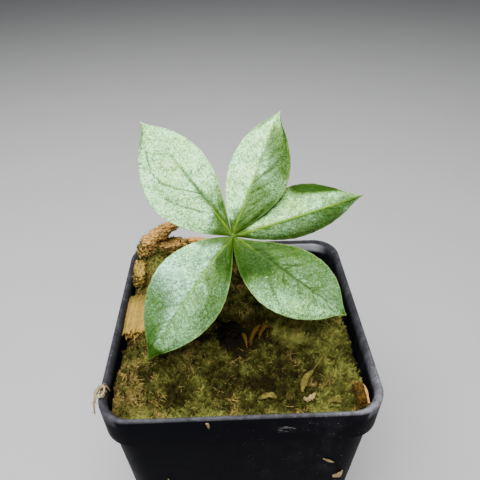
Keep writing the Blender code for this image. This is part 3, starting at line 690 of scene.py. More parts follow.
def plastic_finish(settings):
    """Black plastic with a dusty coat that is lighter on the right, partly from more dust and partly as
    painted light, a paler lip that is partly dusty and partly a painted highlight, a painted highlight inside
    the back right corner, pale specks and a few scratches.
    """
    finish = Finish("black_plastic")
    x, y, z = (finish.axis(name) for name in "XYZ")
    mottle = finish.noise(9 * MM, 4)
    streaks = finish.noise(2.2 * MM, 3, where=finish.mapped((1, 1, 0.07)))
    # Lighter on the right: partly more dust and partly painted light from the right.
    right_dust_and_light = finish.between(x, -0.015, 0.04, 0.1, 1.0)
    dust_and_sheen = finish.between(mottle, 0.38, 0.7) * right_dust_and_light * finish.between(streaks, 0.35, 0.7, 0.3, 1.0)

    # The lip and a band just inside it are painted paler: partly dust and partly a painted highlight along
    # the lip, stronger at the front and at the front right corner.
    outward = finish.math("MAXIMUM", finish.math("ABSOLUTE", x), finish.math("ABSOLUTE", y))
    band = finish.between(z, 0.0708, 0.0735) * finish.between(outward, 0.0391, 0.0396, 1.0, 0.0)
    rim = finish.math("MAXIMUM", finish.between(z, 0.0741, 0.0749), band)
    lip = rim * finish.between(streaks, 0.3, 0.7, 0.5, 1.0)
    inner_band = (finish.between(outward, 0.0389, 0.0393, 1.0, 0.0) * finish.between(z, 0.07, 0.0718)
                  * finish.between(z, 0.0736, 0.0744, 1.0, 0.0))
    # A painted highlight on the inner face of the lip at the back right corner.
    painted_back_highlight = finish.near((25.5, 38.2, 72.8), 5, 11.5)
    front_corner = finish.near((39, -36, 75), 3, 20)
    dust_and_sheen = dust_and_sheen * 0.3 + lip * finish.between(y, -0.0385, -0.036, 1.35, 0.8)
    dust_and_sheen = dust_and_sheen + painted_back_highlight * 13.0 * inner_band + front_corner * 2.0 * lip
    dust_and_sheen_colour = finish.node("ShaderNodeVectorMath", "Vector", {0: tuple(settings.dust_and_sheen_colour), "Scale": dust_and_sheen},
                       operation="SCALE")
    colour = finish.mix(1.0, tuple(settings.colour), dust_and_sheen_colour, "ADD")

    strewn = finish.noise(1.1 * MM, 3, 0.7)
    rare = finish.between(finish.noise(4.5 * MM, 3, 0.7), 0.46, 0.6) * finish.between(strewn, 0.5, 0.54)
    specks = finish.between(finish.cells(0.9 * MM), 0.08, 0.2, 1.0, 0.0) * rare * right_dust_and_light
    on_rim = rim * finish.between(finish.cells(0.7 * MM), 0.1, 0.32, 1.0, 0.0)
    on_rim = on_rim * finish.between(strewn, 0.46, 0.6) * finish.math("ADD", front_corner, 0.4, True)
    scratches = finish.noise(0.5 * MM, 2, where=finish.mapped((0.14, 1.0, 1.0), (0, math.radians(-22), 0)))
    scratches = finish.between(scratches, 0.57, 0.64) * finish.near((12, -40, 69), 1.2, 3)
    specks = finish.math("MAXIMUM", finish.math("MAXIMUM", specks, on_rim), scratches)
    colour = finish.mix(specks * 0.7, colour, (0.3, 0.29, 0.28))
    finish.set(IOR=1.1)
    return finish.done(colour, finish.between(mottle, 0.3, 0.7, 0.3, 0.45),
                       finish.noise(0.22 * MM, 2) + streaks * 1.5, 0.02 * MM, gloss=0.12)


def leaf_finish(settings, upper=True):
    """Green blade with a granular silvery coat that is partly painted sheen, painted glints and patches of
    painted shade, pale veins and a thin pale margin.
    """
    finish = Finish("leaf_upper" if upper else "leaf_under")
    silver_and_sheen, vein, margin, dark_line, hub, cool = (
        finish.marked(name) for name in ("silver_and_sheen", "vein", "margin", "dark_vein", "hub", "cool"))
    along_veins = finish.node("ShaderNodeCombineXYZ", "Vector", {
        "X": finish.marked("across_veins"), "Y": finish.marked("along_veins") * 0.62,
        "Z": finish.axis("Z") * 0.1})
    silk = finish.noise(0.6 * MM, 3, 0.62, where=along_veins, warp=1.3)
    cells = finish.cells(0.85 * MM, feature="SMOOTH_F1")
    grain = finish.noise(0.5 * MM, 2, 0.65)
    wrinkle = finish.noise(1.7 * MM, 3, 0.65, warp=1.2)
    mottle = finish.noise(6.0 * MM, 3, 0.6)

    shaken = ((silk - 0.5) * 1.05 + (grain - 0.5) * 1.1 + (cells - 0.33) * -0.2 + (wrinkle - 0.5) * 0.45
              + (mottle - 0.5) * 0.4)
    held = finish.between(silver_and_sheen, 0.0, 0.4, 0.08, 0.8) * finish.between(silver_and_sheen, 0.6, 1.0, 1.0, 1.85)
    level = (silver_and_sheen + shaken * held) * (1 / 1.4)
    colour = finish.ramp(level, (0.0, settings.deep), (0.2, settings.green), (0.42, settings.haze),
                         (0.68, settings.silver_and_sheen), (1.0, settings.painted_glint))
    hue = finish.noise(7.5 * MM, 2, 0.5, where=finish.mapped((1, 1, 1), (0.7, 0.3, 1.1))) + cool * 0.3
    hue = finish.ramp(hue, (0.22, (1.06, 0.98, 0.74)), (0.36, (1.04, 0.99, 0.88)), (0.64, (0.95, 1.0, 1.1)),
                      (0.9, (1.0, 1.0, 1.4)), (1.0, (1.0, 1.0, 1.6)))
    colour = finish.mix(1.0, colour, hue, "MULTIPLY")
    if not upper:
        colour = finish.mix(finish.between(mottle, 0.3, 0.7), (0.08, 0.15, 0.05), (0.11, 0.19, 0.07))
    light_grain = finish.between(silk, 0.3, 0.7, 0.9, 1.1)
    colour = finish.mix(1.0, colour, finish.node("ShaderNodeCombineColor", "Color", {
        "Red": light_grain, "Green": light_grain, "Blue": light_grain}), "MULTIPLY")
    # Painted glints: bright specks of reflected light painted into the colour where the silvery coat is
    # thick.
    glints = finish.between(finish.noise(0.55 * MM, 1, 0.6, warp=0.8), 0.6, 0.72, 0.0, 0.45)
    glints = glints * finish.between(silver_and_sheen, 0.15, 0.7) * finish.between(wrinkle, 0.42, 0.6)
    for share, tint in ((glints, settings.painted_glint), (dark_line, shaded(settings.green, 0.62)),
                        (vein, settings.vein), (hub, settings.hub), (margin, settings.margin)):
        colour = finish.mix(share, colour, tint)
    finish.set(Specular_Tint=(0.75, 1.0, 0.6, 1.0))
    return finish.done(colour, finish.between(level, 0.0, 1.0, 0.2, 0.32),
                       grain * 0.7 + silk * 0.9 + wrinkle * 1.4, 0.22 * MM, gloss=0.16)


def moss_finish(settings):
    """Moss whose tone runs from old and dark to fresh, and whose dry parts are straw-coloured."""
    finish = Finish("moss")
    fine = finish.noise(0.7 * MM, 4, 0.7)
    lump = finish.noise(5 * MM, 3)
    tone = finish.marked("tone") + (fine - 0.5) * 0.5 + (lump - 0.5) * 0.5
    colour = finish.ramp(tone, (0.0, shaded(settings.dark, 0.6)), (0.22, settings.dark),
                         (0.5, settings.olive), (1.0, settings.fresh))
    dry = finish.mix(fine, shaded(settings.dry, 0.55), shaded(settings.dry, 1.25))
    dry = finish.mix(finish.between(tone, 0.15, 0.6), shaded(settings.dry, 0.25), dry)
    colour = finish.mix(finish.between(finish.marked("dryness"), 0.1, 0.9), colour, dry)
    return finish.done(colour, finish.between(fine, 0.2, 0.8, 0.75, 0.95), fine, 0.3 * MM, gloss=0.06)


def woody_finish(name, colour, stretch, turn=0.0, dark=0.45, light=1.6, painted_shade_from=None):
    """Bark or wood whose fibres run along one axis; stretch is small along the fibres.

    It may take painted shade towards the back, over a range of Y, where the piece goes into shadow.
    """
    finish = Finish(name)
    where = finish.mapped(stretch, (0, 0, math.radians(turn)))
    fibres = finish.noise(0.55 * MM, 5, 0.7, where=where, warp=0.3)
    strands = finish.noise(1.6 * MM, 2, 0.5, where=where)
    blotch = finish.noise(4 * MM, 3, 0.6)
    tone = fibres * 0.5 + strands * 0.25 + blotch * 0.25
    shade = finish.ramp(tone, (0.36, shaded(colour, dark)), (0.5, colour), (0.64, shaded(colour, light)))
    # Painted shade: darker towards the back end, where the piece goes into shadow.
    if painted_shade_from:
        back = finish.axis("Y") + (blotch - 0.5) * 0.012
        shade = finish.mix(finish.between(back, *painted_shade_from, 0.0, 0.75), shade, shaded(colour, 0.35))
    return finish.done(shade, finish.between(fibres, 0.3, 0.7, 0.7, 0.92),
                       fibres + strands, 0.4 * MM, gloss=0.1)


def split_finish(settings):
    """The front chip: brown bark that is orange on its side towards the corner of the pot."""
    finish = Finish("split_bark")
    fibres = finish.noise(0.5 * MM, 4, 0.7, where=finish.mapped((0.4, 0.4, 1.2)))
    fibres = finish.between(fibres, 0.3, 0.7)
    brown = finish.mix(fibres, shaded(settings.brown, 0.15), shaded(settings.brown, 1.4))
    orange = finish.mix(fibres, shaded(settings.orange, 0.5), shaded(settings.orange, 1.2))
    colour = finish.mix(finish.between(finish.axis("X"), 0.0358, 0.0361), brown, orange)
    return finish.done(colour, 0.85, fibres, 0.35 * MM, gloss=0.1)


def peat_finish(settings):
    """Damp crumbly peat, with painted shade that makes it almost black in the pit."""
    finish = Finish("damp_peat")
    crumb = finish.noise(1.1 * MM, 5, 0.7)
    fleck = finish.cells(1.5 * MM, output="Color")
    fleck = finish.node("ShaderNodeSeparateColor", "Red", {"Color": fleck})
    colour = finish.ramp((crumb + fleck) * 0.5, (0.25, shaded(settings.peat, 0.35)), (0.55, settings.peat),
                         (0.85, shaded(settings.peat, 3.2)))
    # Painted shade: the peat turns almost black round the pit, where shade falls in the hollow.
    colour = finish.mix(finish.near((*PIT_CENTRE, 66), 5, 10) * 0.85, colour, (0.0024, 0.0014, 0.0004))
    return finish.done(colour, finish.between(crumb, 0.3, 0.7, 0.7, 0.95), crumb, 0.6 * MM, gloss=0.1)


def stalk_finish(settings):
    """Dark waxy stalk, with a painted lit side that is redder and lighter on its right, and pale oblong
    blotches.
    """
    finish = Finish("petiole")
    blotch = finish.noise(1.6 * MM, 3, 0.5, where=finish.mapped((1, 1, 0.35)))
    colour = finish.mix(finish.between(blotch, 0.52, 0.62), settings.stalk, shaded(settings.stalk, 1.9))
    # Painted light: the right side is painted redder and lighter as the stalk's lit side.
    colour = finish.mix(finish.between(finish.axis("X"), -0.003, 0.001) * 0.5, colour, (0.16, 0.05, 0.035))
    return finish.done(colour, finish.between(blotch, 0.3, 0.7, 0.35, 0.5), blotch, 0.05 * MM)


# Shapes of the leaf.

def blade_axes():
    """The blade's plane, which leans back: across, up along it, and its normal."""
    across = np.array((1.0, 0.0, 0.0))
    normal = np.array((0.0, -math.sin(BLADE_LEAN), math.cos(BLADE_LEAN)))
    return across, np.cross(normal, across), normal


def half_width(s, half):
    """Half the leaflet's width along it, in metres."""
    width, peak, base = half
    tip = base * (1 - peak) / peak
    return width * MM * (s / peak) ** base * ((1 - s) / (1 - peak)) ** tip


def midrib(habit, s):
    """Points along the midrib with the sideways and upward directions at each of them."""
    across, along, normal = blade_axes()

    def ahead_at(part):
        bearing = np.radians(habit["bearing"] + habit["turn"] * (part - 0.5))[:, None]
        pitch = np.radians(habit["rise"] - habit["arch"] * part)[:, None]
        return (across * np.cos(bearing) + along * np.sin(bearing)) * np.cos(pitch) + normal * np.sin(pitch)

    middle = (s[1:] + s[:-1]) / 2 - 0.5 / FRAME_STATIONS
    steps = ahead_at(middle) * np.diff(s)[:, None] * habit["length"] * MM
    points = np.array(HUB) + np.vstack([np.zeros(3), np.cumsum(steps, axis=0)])
    ahead = ahead_at(s)
    side = np.cross(ahead, normal)
    side /= np.linalg.norm(side, axis=1)[:, None]
    return points, side, np.cross(side, ahead)


def distance_to_line(x, y, line):
    """The distance of every point from a line through a few points, all in one flat plane."""
    nearest = np.full(x.shape, np.inf)
    for (ax, ay), (bx, by) in zip(line, line[1:]):
        dx, dy = bx - ax, by - ay
        part = np.clip(((x - ax) * dx + (y - ay) * dy) / (dx * dx + dy * dy), 0, 1)
        nearest = np.minimum(nearest, np.hypot(x - ax - part * dx, y - ay - part * dy))
    return nearest


def bell(distance, width):
    """One at no distance, falling to a third at that width."""
    return np.exp(-(distance / width) ** 2)


def leaflet_shape(name, s, t):
    """Places of a leaflet's points and the marks that its finish reads, over along s and across t."""
    # The outline, and how each half is folded, rounded and rippled.
    habit = LEAFLETS[name]
    bearing = habit["bearing"]
    rows = s[:, 0]
    points, side, up = midrib(habit, rows)
    length = habit["length"] * MM
    left, right = (half_width(s, habit[half]) for half in ("left", "right"))
    reach = np.maximum(np.where(t < 0, left, right), 0.1 * MM)
    wobble = np.sin(31 * s + 3 * np.sign(t) + bearing) * np.sin(53 * s + bearing)
    reach = (reach + 0.1 * MM * wobble * np.sin(np.pi * s)) * (1 - 0.45 * bell(1 - s, 0.09))
    x = t * reach
    size = np.abs(t)
    height = reach * (habit["fold"] * size - habit["crown"] * t ** 2)
    wave = np.sin(9.0 * s + 2.0 * t + bearing)
    height = height + habit["ripple"] * MM * wave * size ** 3 * np.sin(np.pi * s)
    frill = np.sin(46 * s + 5 * t + bearing) + 0.6 * np.sin(27 * s - bearing)
    height = height + 0.16 * MM * frill * size ** 5 * np.sin(np.pi * s)

    # The midrib's groove, the side veins, the vein along the margin and the quilted blade between them.
    aside = habit["aside"] * MM * np.exp(-rows / 0.5)[:, None] * np.minimum(1, s / 0.06)
    groove = bell(x - aside, (0.5 - 0.3 * s) * MM)
    height = height - 0.3 * MM * groove * (1 - s) ** 0.7 * np.minimum(1, s / 0.12)
    laterals = np.zeros_like(x)
    for k in range(7):
        path = 0.06 + 0.125 * k + (0.17 + 0.05 * np.sign(t)) * size + 0.08 * size ** 2
        line = bell((s - path) * length * 0.75, 0.42 * MM)
        laterals = np.maximum(laterals, line * np.clip(1.15 - size, 0, 1) * np.minimum(1, size / 0.05))
    collective = bell((size - 0.87) * reach, 0.3 * MM) * (s < 0.93)
    dark = np.zeros_like(x)
    for line in DARK_VEINS.get(name, ()):
        flat = [(a * length, b * np.interp(a, rows, (left if b < 0 else right)[:, 0])) for a, b in line]
        dark = np.maximum(dark, bell(distance_to_line(s * length, x, flat), 0.28 * MM))
    height = height - 0.18 * MM * np.maximum(laterals, 0.6 * collective) - 0.16 * MM * dark
    quilt = np.sin((s * length - 0.8 * np.abs(x)) / (0.95 * MM)) * np.sin(np.abs(x) / (0.8 * MM) + 2 * s)
    height = height + 0.08 * MM * quilt * np.minimum(1, size / 0.15) * np.minimum(1, (1 - size) / 0.1)

    # The silver film, partly painted sheen, whose darker halves and patches are partly painted shade; it
    # changes softly from one half to the other.
    halves = 0.5 + 0.5 * np.tanh((x - aside) / (0.35 * MM))

    def each_half(left_half, right_half):
        return left_half * (1 - halves) + right_half * halves

    *silver_sheen_and_shade_halves, patches = SILVER_SHEEN_AND_SHADE[name]
    silver_and_sheen = each_half(*silver_sheen_and_shade_halves)
    for along, across, far_along, far_across, amount in patches:
        near = ((s - along) / far_along) ** 2 + ((t - across) / far_across) ** 2
        silver_and_sheen = silver_and_sheen + amount * 0.5 * (1 - np.tanh(1.8 * (near - 0.8)))
    ragged = 0.7 + 0.45 * np.sin(97 * s + 2 * np.sign(x)) * np.sin(61 * s + 3 * np.sign(x))
    green = each_half(*habit["green"]) * bell(x - aside, ragged * MM) * np.clip(1.25 - 1.7 * s, 0, 1)
    silver_and_sheen = silver_and_sheen - green - 0.14 * laterals
    if name in DROP_EDGES:
        flat = [(a * length, b * np.interp(a, rows, left[:, 0])) for a, b in DROP_EDGES[name]]
        silver_and_sheen = silver_and_sheen + 0.2 * bell(distance_to_line(s * length, x, flat), 0.3 * MM)
    silver_and_sheen = np.clip(silver_and_sheen, 0, 1)

    # The lines along the margin and the midrib.
    edge = bell((1 - size) * reach, 0.26 * MM) * np.clip((s - 0.06) / 0.12, 0, 1)
    edge = np.maximum(edge, bell((1 - s) * length, 0.5 * MM))
    pale = each_half(*habit["margin"]) * (0.3 + 0.7 * np.minimum(1, silver_and_sheen / 0.5))
    midrib_line = bell(x - aside, (0.36 - 0.2 * s) * MM)
    pale_until = habit["pale_until"]
    dark_midrib = bell(x - aside, (0.66 - 0.4 * s) * MM) * np.clip((s - pale_until + 0.08) / 0.16, 0, 1)
    dark_midrib = dark_midrib * np.clip(2 * (habit["dark_until"] - s), 0, 0.95)
    marks = {
        "silver_and_sheen": silver_and_sheen,
        "vein": midrib_line * np.clip((pale_until + 0.08 - s) / 0.16, 0, 1) * 0.85,
        "margin": pale * edge,
        "dark_vein": np.maximum(dark, dark_midrib),
        "cool": each_half(*habit["cool"]) * (1 + 0.45 * bell(s - 0.6, 0.2)),
        "across_veins": s * length - 0.8 * np.abs(x),
        "along_veins": 1.25 * x + 0 * s,
        "hub": bell(s * length, 4.3 * MM) + 0 * t,
    }
    weight = 0.4 + 0.25 * (1 - size ** 3) + 0.35 * groove * (1 - s)
    places = points[:, None, :] + side[:, None, :] * x[..., None] + up[:, None, :] * height[..., None]
    return places, marks, weight


def lanes_across(count):
    """Places from -1 to 1, closer together at the midrib and at both edges."""
    part = np.linspace(0, 1, count // 2 + 1)
    half = 0.6 * (1 - np.cos(np.pi * part)) / 2 + 0.4 * part
    return np.concatenate([-half[:0:-1], half])


def build_leaflet(name, settings):
    """A grid laid along the midrib, then given its thickness."""
    rows, lanes = 124, 58
    piece, row, lane = laid_grid(rows, lanes)
    s = np.linspace(0, 1, rows + 1)[:, None] + np.zeros(lanes + 1)
    t = lanes_across(lanes)[None, :] + np.zeros((rows + 1, 1))
    places, marks, weight = leaflet_shape(name, s, -t)
    for key, values in marks.items():
        mark(piece.data, key, values[row, lane])
    group = piece.vertex_groups.new(name="thickness")
    for index, value in enumerate(weight[row, lane]):
        group.add([index], float(np.clip(value, 0, 1)), "REPLACE")
    lay(piece, places[row, lane])
    apply_modifier(piece, "SOLIDIFY", thickness=settings.thickness, offset=0.0,
                   vertex_group="thickness", thickness_vertex_group=0.2, material_offset=1)
    return piece


def build_hub():
    """The small raised boss where the leaflets meet."""
    start()
    bpy.ops.mesh.primitive_uv_sphere_add(segments=40, ring_count=20, radius=1.5 * MM,
                                         location=HUB, rotation=(BLADE_LEAN, 0, 0))
    hub = bpy.context.object
    hub.scale = (0.8, 0.8, 0.28)
    place(hub)
    for key, value in dict(silver_and_sheen=0, vein=0.5, margin=0, dark_vein=0, hub=1).items():
        mark(hub.data, key, np.full(len(hub.data.vertices), value))
    return hub


# Shapes of the moss.

def rise(x, y, cx, cy, wide, long):
    """A smooth bump of 1 at a place, in millimetres."""
    return math.exp(-((x - cx) / wide) ** 2 - ((y - cy) / long) ** 2)


def rises(x, y, spots):
    """All the bumps and hollows of a table together."""
    return sum(amount * rise(x, y, *where) for amount, *where in spots)


def tone_at(x, y):
    """How fresh and how dry the moss is at a place, in millimetres: brown in the middle, green in front, with
    painted shade round the pit and painted light under the leaf.
    """
    spot = Vector((x, y, 4.4))
    patches = noise.noise(spot / 6.5)
    tone = 0.42 + 0.32 * patches + 0.34 * noise.noise(spot / 2.2)
    tone += 0.4 * math.exp(-((y + 37) / 5) ** 2) + rises(x, y, MOSS_FRESHNESS_AND_PAINTED_LIGHT)
    shaken = noise.noise(spot / 3.2 + Vector((9, 4, 2)))
    dryness = (0.45 + 1.1 * shaken) * math.exp(-((x + 37) / 8) ** 2)
    dryness += (0.25 + shaken) * rise(x, y, -33, -22, 5, 8) + 0.4 * rise(x, y, -17, -11, 8, 5)
    dryness += 0.8 * rise(x, y, -36, 15, 3.5, 7)
    dryness += 1.4 * max(0.0, noise.noise(spot / 4.5 + Vector((3, 8, 5))) - 0.12) * (1.0 if y < 20 else 2.0)
    return tone, max(0.0, dryness)


def moss_leaves(stem, leaves, spread, thin, seed):
    """A moss shoot: small three-sided leaves set round a short stem, all in one mesh."""
    chance = random.Random(seed)
    turn_between = 2.4
    parts = []
    for k in range(leaves):
        up = 0.15 + 0.85 * k / leaves
        turn = turn_between * k + chance.uniform(-0.4, 0.4)
        tilt = spread * (1.15 - 0.75 * up) + chance.uniform(-0.15, 0.15)
        out = Vector((math.cos(turn) * math.sin(tilt), math.sin(turn) * math.sin(tilt), math.cos(tilt)))
        size = (0.95 - 0.35 * up) * stem * 0.62
        start()
        bpy.ops.mesh.primitive_cone_add(vertices=3, radius1=thin * stem, radius2=0, depth=size,
                                        location=Vector((0, 0, up * stem * 0.8)) + out * size / 2,
                                        rotation=out.to_track_quat("Z", "Y").to_euler())
        parts.append(bpy.context.object)
    return take_shape(place(join(parts)))


def shoot_shapes():
    """Three moss shoots: a middling one, a tall slender one and a short open one."""
    return [moss_leaves(stem=1.7 * MM, leaves=8, spread=1.1, thin=0.09, seed=1),
            moss_leaves(stem=2.1 * MM, leaves=9, spread=0.8, thin=0.07, seed=2),
            moss_leaves(stem=1.4 * MM, leaves=7, spread=1.3, thin=0.11, seed=3)]


def fibre_shapes():
    """Thin dry fibres 6 mm long, nearly straight."""
    fibres = []
    for seed in range(4):
        chance = random.Random(seed + 40)
        points = [(-3 + 1.5 * k, chance.uniform(-0.4, 0.4), chance.uniform(-0.2, 0.35)) for k in range(5)]
        radii = (0.04, 0.1, 0.13, 0.09, 0.03)
        fibres.append(take_shape(swept(points, radii, sides=0, segments=1)))
    return fibres


def moss_surface(carpet):
    """A look-up of the carpet's height and slope from above."""
    return BVHTree.FromObject(carpet, bpy.context.evaluated_depsgraph_get())


def look_down(surface, x, y):
    """The spot and the slope under a place in millimetres, or None twice."""
    return surface.ray_cast(Vector((x * MM, y * MM, 0.12)), Vector((0, 0, -1)))[:2]


def beyond_wall(x, y):
    """How far a place lies outside the pot's inner wall, in millimetres; negative inside."""
    across, along = (abs(part) - INNER_HALF + INNER_CORNER for part in (x, y))
    return math.hypot(max(across, 0), max(along, 0)) + min(max(across, along), 0) - INNER_CORNER


def carpet_height(surface, x, y):
    """The carpet's height in millimetres, or None where it is bare."""
    if beyond_wall(x, y) > 0:
        return None
    # Near the wall, look further and further inward until the relief is met.
    inward = 0.0
    spot = None
    while spot is None and inward < 6:
        part = 1 - inward / max(abs(x), abs(y), 1)
        spot = look_down(surface, x * part, y * part)[0]
        inward += 0.5
    loose = x < -22 or y < -28 or (y > 26 and x < 10)
    if spot is None or (inward > 1 and not loose):
        return None
    height = spot.z / MM - (0.0 if inward < 1 else 0.4)
    return max(height + rises(x, y, MOSS_RELIEF), MEDIUM_TOP)


def build_carpet():
    """The moss carpet: the frame's relief on a fine grid that meets the wall, with three sizes of lump."""
    surface = moss_surface(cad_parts["moss"])
    start()
    cells = 164
    bpy.ops.mesh.primitive_grid_add(x_subdivisions=cells, y_subdivisions=cells, size=76.4 * MM)
    carpet = bpy.context.object
    form = bmesh.new()
    form.from_mesh(carpet.data)
    bare = []
    for vertex in form.verts:
        height = carpet_height(surface, vertex.co.x / MM, vertex.co.y / MM)
        if height is None:
            bare.append(vertex)
        else:
            vertex.co.z = height * MM
    bmesh.ops.delete(form, geom=bare, context="VERTS")
    form.to_mesh(carpet.data)
    form.free()
    apply_modifier(carpet, "SMOOTH", iterations=2)
    for grain, depth in ((4.2, 2.4), (1.8, 1.3), (0.9, 0.8)):
        roughen(carpet, (grain * MM,) * 3, depth * MM)
    apply_modifier(carpet, "SOLIDIFY", thickness=0.8 * MM, offset=-1)
    marks = [tone_at(vertex.co.x / MM, vertex.co.y / MM) for vertex in carpet.data.vertices]
    mark(carpet.data, "tone", [tone - 0.12 for tone, dryness in marks])
    mark(carpet.data, "dryness", [dryness * 0.5 for tone, dryness in marks])
    return smooth(carpet)


def shoot_places(surface, spacing, chance):
    """Places of the shoots on a shaken grid, each leaning with the carpet."""
    places = []
    count = int(2 * INNER_HALF * MM / spacing)
    for i in range(count):
        for j in range(count):
            x = -INNER_HALF + (i + chance.random()) * spacing / MM
            y = -INNER_HALF + (j + chance.random()) * spacing / MM
            spot, normal = look_down(surface, x, y)
            kind = chance.randrange(3)
            turn, lean, size = chance.uniform(*ANY_TURN), chance.uniform(0, 1), chance.uniform(0.6, 1.25)
            extra = chance.uniform(-0.16, 0.2)
            if spot is None or normal.z < 0.2 or lean < 0.12:
                continue
            tone, dryness = tone_at(x, y)
            inward = Vector((-x, -y, 0)).normalized() * (0.9 if beyond_wall(x, y) > -2 else 0.0)
            up = (normal + Vector((math.cos(turn), math.sin(turn), 0)) * lean * 0.9 + inward).normalized()
            places.append((kind, stood(spot - up * 0.25 * MM, size, turn, up), tone + extra,
                           dryness * (1.2 if extra > 0 else 0.5)))
    return places


def strand_places(surface, count, chance):
    """Places of the dry strands, most of them by the left wall and in the back left corner."""
    places = []
    while len(places) < count:
        x, y = chance.uniform(-37.5, 37.5), chance.uniform(-37.5, 37.5)
        tone, dryness = tone_at(x, y)
        kind, turn, tip, size = (chance.randrange(4), chance.uniform(*ANY_TURN), chance.gauss(0, 0.22),
                                 chance.uniform(0.35, 1.0))
        if chance.random() > 0.02 + dryness or beyond_wall(x, y) > -2.5:
            continue
        spot = look_down(surface, x, y)[0]
        if spot is None:
            continue
        matrix = Matrix.Translation(spot + Vector((0, 0, 0.35 * MM))) @ Matrix.Rotation(turn, 4, "Z")
        matrix = matrix @ Matrix.Rotation(tip, 4, "Y") @ Matrix.Scale(size, 4)
        places.append((kind, matrix, 0.6, chance.uniform(0.55, 1.0)))
    return places


# Operators, one for each piece or group of like pieces.

class YAM_OT_pot(Operator):
    """Extrude the pot from its foot up to the lip and down inside, then cut its drain holes"""
    bl_idname = "yam.pot"
    bl_label = "Nursery pot"

    def execute(self, context):
        pot = context.scene.yam_pot
        half, height, wall = pot.width / 2, pot.height, pot.wall
        step = height - pot.collar
        body = half - 1.7 * MM
        foot = body - 0.06 * step
        floor = 2.4 * MM
        profile = (
            (foot - 0.7 * MM, 0.0), (foot, 1.0 * MM), (body, step - 0.2 * MM), (half - 0.8 * MM, step),
            (half - 0.35 * MM, step + 0.5 * MM), (half, height - 1.5 * MM), (half, height - 0.5 * MM),
            (half - 0.25 * MM, height - 0.08 * MM), (half - 0.6 * MM, height),
            (half - wall + 0.25 * MM, height - 0.2 * MM), (half - wall - 0.2 * MM, height - 0.75 * MM),
            (half - wall - 0.55 * MM, height - 1.8 * MM), (half - wall - 0.6 * MM, step + 1.2 * MM),
            (body - wall, step - 0.8 * MM), (foot - wall + 0.06 * floor, floor + 0.8 * MM),
            (foot - wall - 0.8 * MM, floor),
        )
        start()
        bpy.ops.mesh.primitive_plane_add(size=2 * profile[0][0], location=(0, 0, 0))
        piece = context.object
        with editing(piece):
            bpy.ops.mesh.bevel(offset=pot.corner * profile[0][0] / half, segments=14, affect="VERTICES")
            for (last, low), (width, z) in zip(profile, profile[1:]):
                bpy.ops.mesh.extrude_region_move(TRANSFORM_OT_translate={"value": (0, 0, z - low)})
                bpy.ops.transform.resize(value=(width / last, width / last, 1), center_override=(0, 0, 0))
            bpy.ops.mesh.select_all(action="SELECT")
            bpy.ops.mesh.normals_make_consistent(inside=False)
        self.cut_underside(piece)
        apply_modifier(piece, "BEVEL", width=0.22 * MM, segments=3, limit_method="ANGLE",
                       angle_limit=math.radians(24))
        dress(smooth(piece, 32), "nursery_pot", "black_plastic", plastic_finish(pot), "pot")
        return {"FINISHED"}

    def cut_underside(self, piece):
        """Eight round drain holes and a shallow square channel with an outlet on each side."""
        tools = []
        for quarter in range(4):
            turn = Matrix.Rotation(math.radians(90 * quarter), 3, "Z")
            for spot in (Vector((20, 0, 0)), Vector((20, 20, 0))):
                start()
                bpy.ops.mesh.primitive_cylinder_add(vertices=32, radius=3.2 * MM, depth=12 * MM,
                                                    location=turn @ spot * MM)
                tools.append(bpy.context.object)
            for spot, size in ((Vector((20, 0, 0)), (14, 54, 2)), (Vector((31, 0, 0)), (16, 6, 2))):
                start()
                bpy.ops.mesh.primitive_cube_add(size=1, location=turn @ spot * MM,
                                                rotation=(0, 0, math.radians(90 * quarter)))
                tool = bpy.context.object
                tool.scale = [side * MM for side in size]
                tools.append(place(tool))
        group = bpy.data.collections.new("drain_tools")
        bpy.context.scene.collection.children.link(group)
        for tool in tools:
            for home in list(tool.users_collection):
                home.objects.unlink(tool)
            group.objects.link(tool)
        apply_modifier(piece, "BOOLEAN", operation="DIFFERENCE", operand_type="COLLECTION",
                       collection=group, solver="EXACT")
        for tool in tools:
            bpy.data.objects.remove(tool)
        bpy.data.collections.remove(group)


class YAM_OT_medium(Operator):
    """Finish the growing medium and strew crumbs of bark and peat where the moss leaves it bare"""
    bl_idname = "yam.medium"
    bl_label = "Growing medium"

    def execute(self, context):
        finish = peat_finish(context.scene.yam_moss)
        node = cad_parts["growing_medium"]
        node.data.materials.clear()
        node.data.materials.append(finish)
        shapes = [crumb_shape(seed) for seed in (1, 2, 3)]
        chance = random.Random(11)
        carpet = moss_surface(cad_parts["moss"])
        places = []
        count, half = 5200, 36.2
        pit_wide, pit_long, pit_floor, pit_depth = 4.2, 6.0, 60.4, 3.4
        for _ in range(count):
            x, y = chance.uniform(-half, half), chance.uniform(-half, half)
            size = chance.uniform(0.5, 1.9)
            turn = Matrix.Rotation(chance.uniform(*ANY_TURN), 4, "Z")
            turn = turn @ Matrix.Rotation(chance.uniform(0, 3), 4, "X")
            height = chance.uniform(64.2, 66.6)
            in_pit = math.hypot((x - PIT_CENTRE[0]) / pit_wide, (y - PIT_CENTRE[1]) / pit_long)
            if in_pit < 1:
                height = pit_floor + pit_depth * in_pit ** 2
            elif look_down(carpet, x, y)[0] and look_down(carpet, x * 1.03, y * 1.03)[0]:
                continue
            places.append((chance.randrange(3), Matrix.Translation(Vector((x, y, height)) * MM) @ turn
                           @ Matrix.Scale(size, 4), 0.0, 0.0))
        dress(copies("crumbs", shapes, places), "peat_crumbs", "peat", finish)
        return {"FINISHED"}


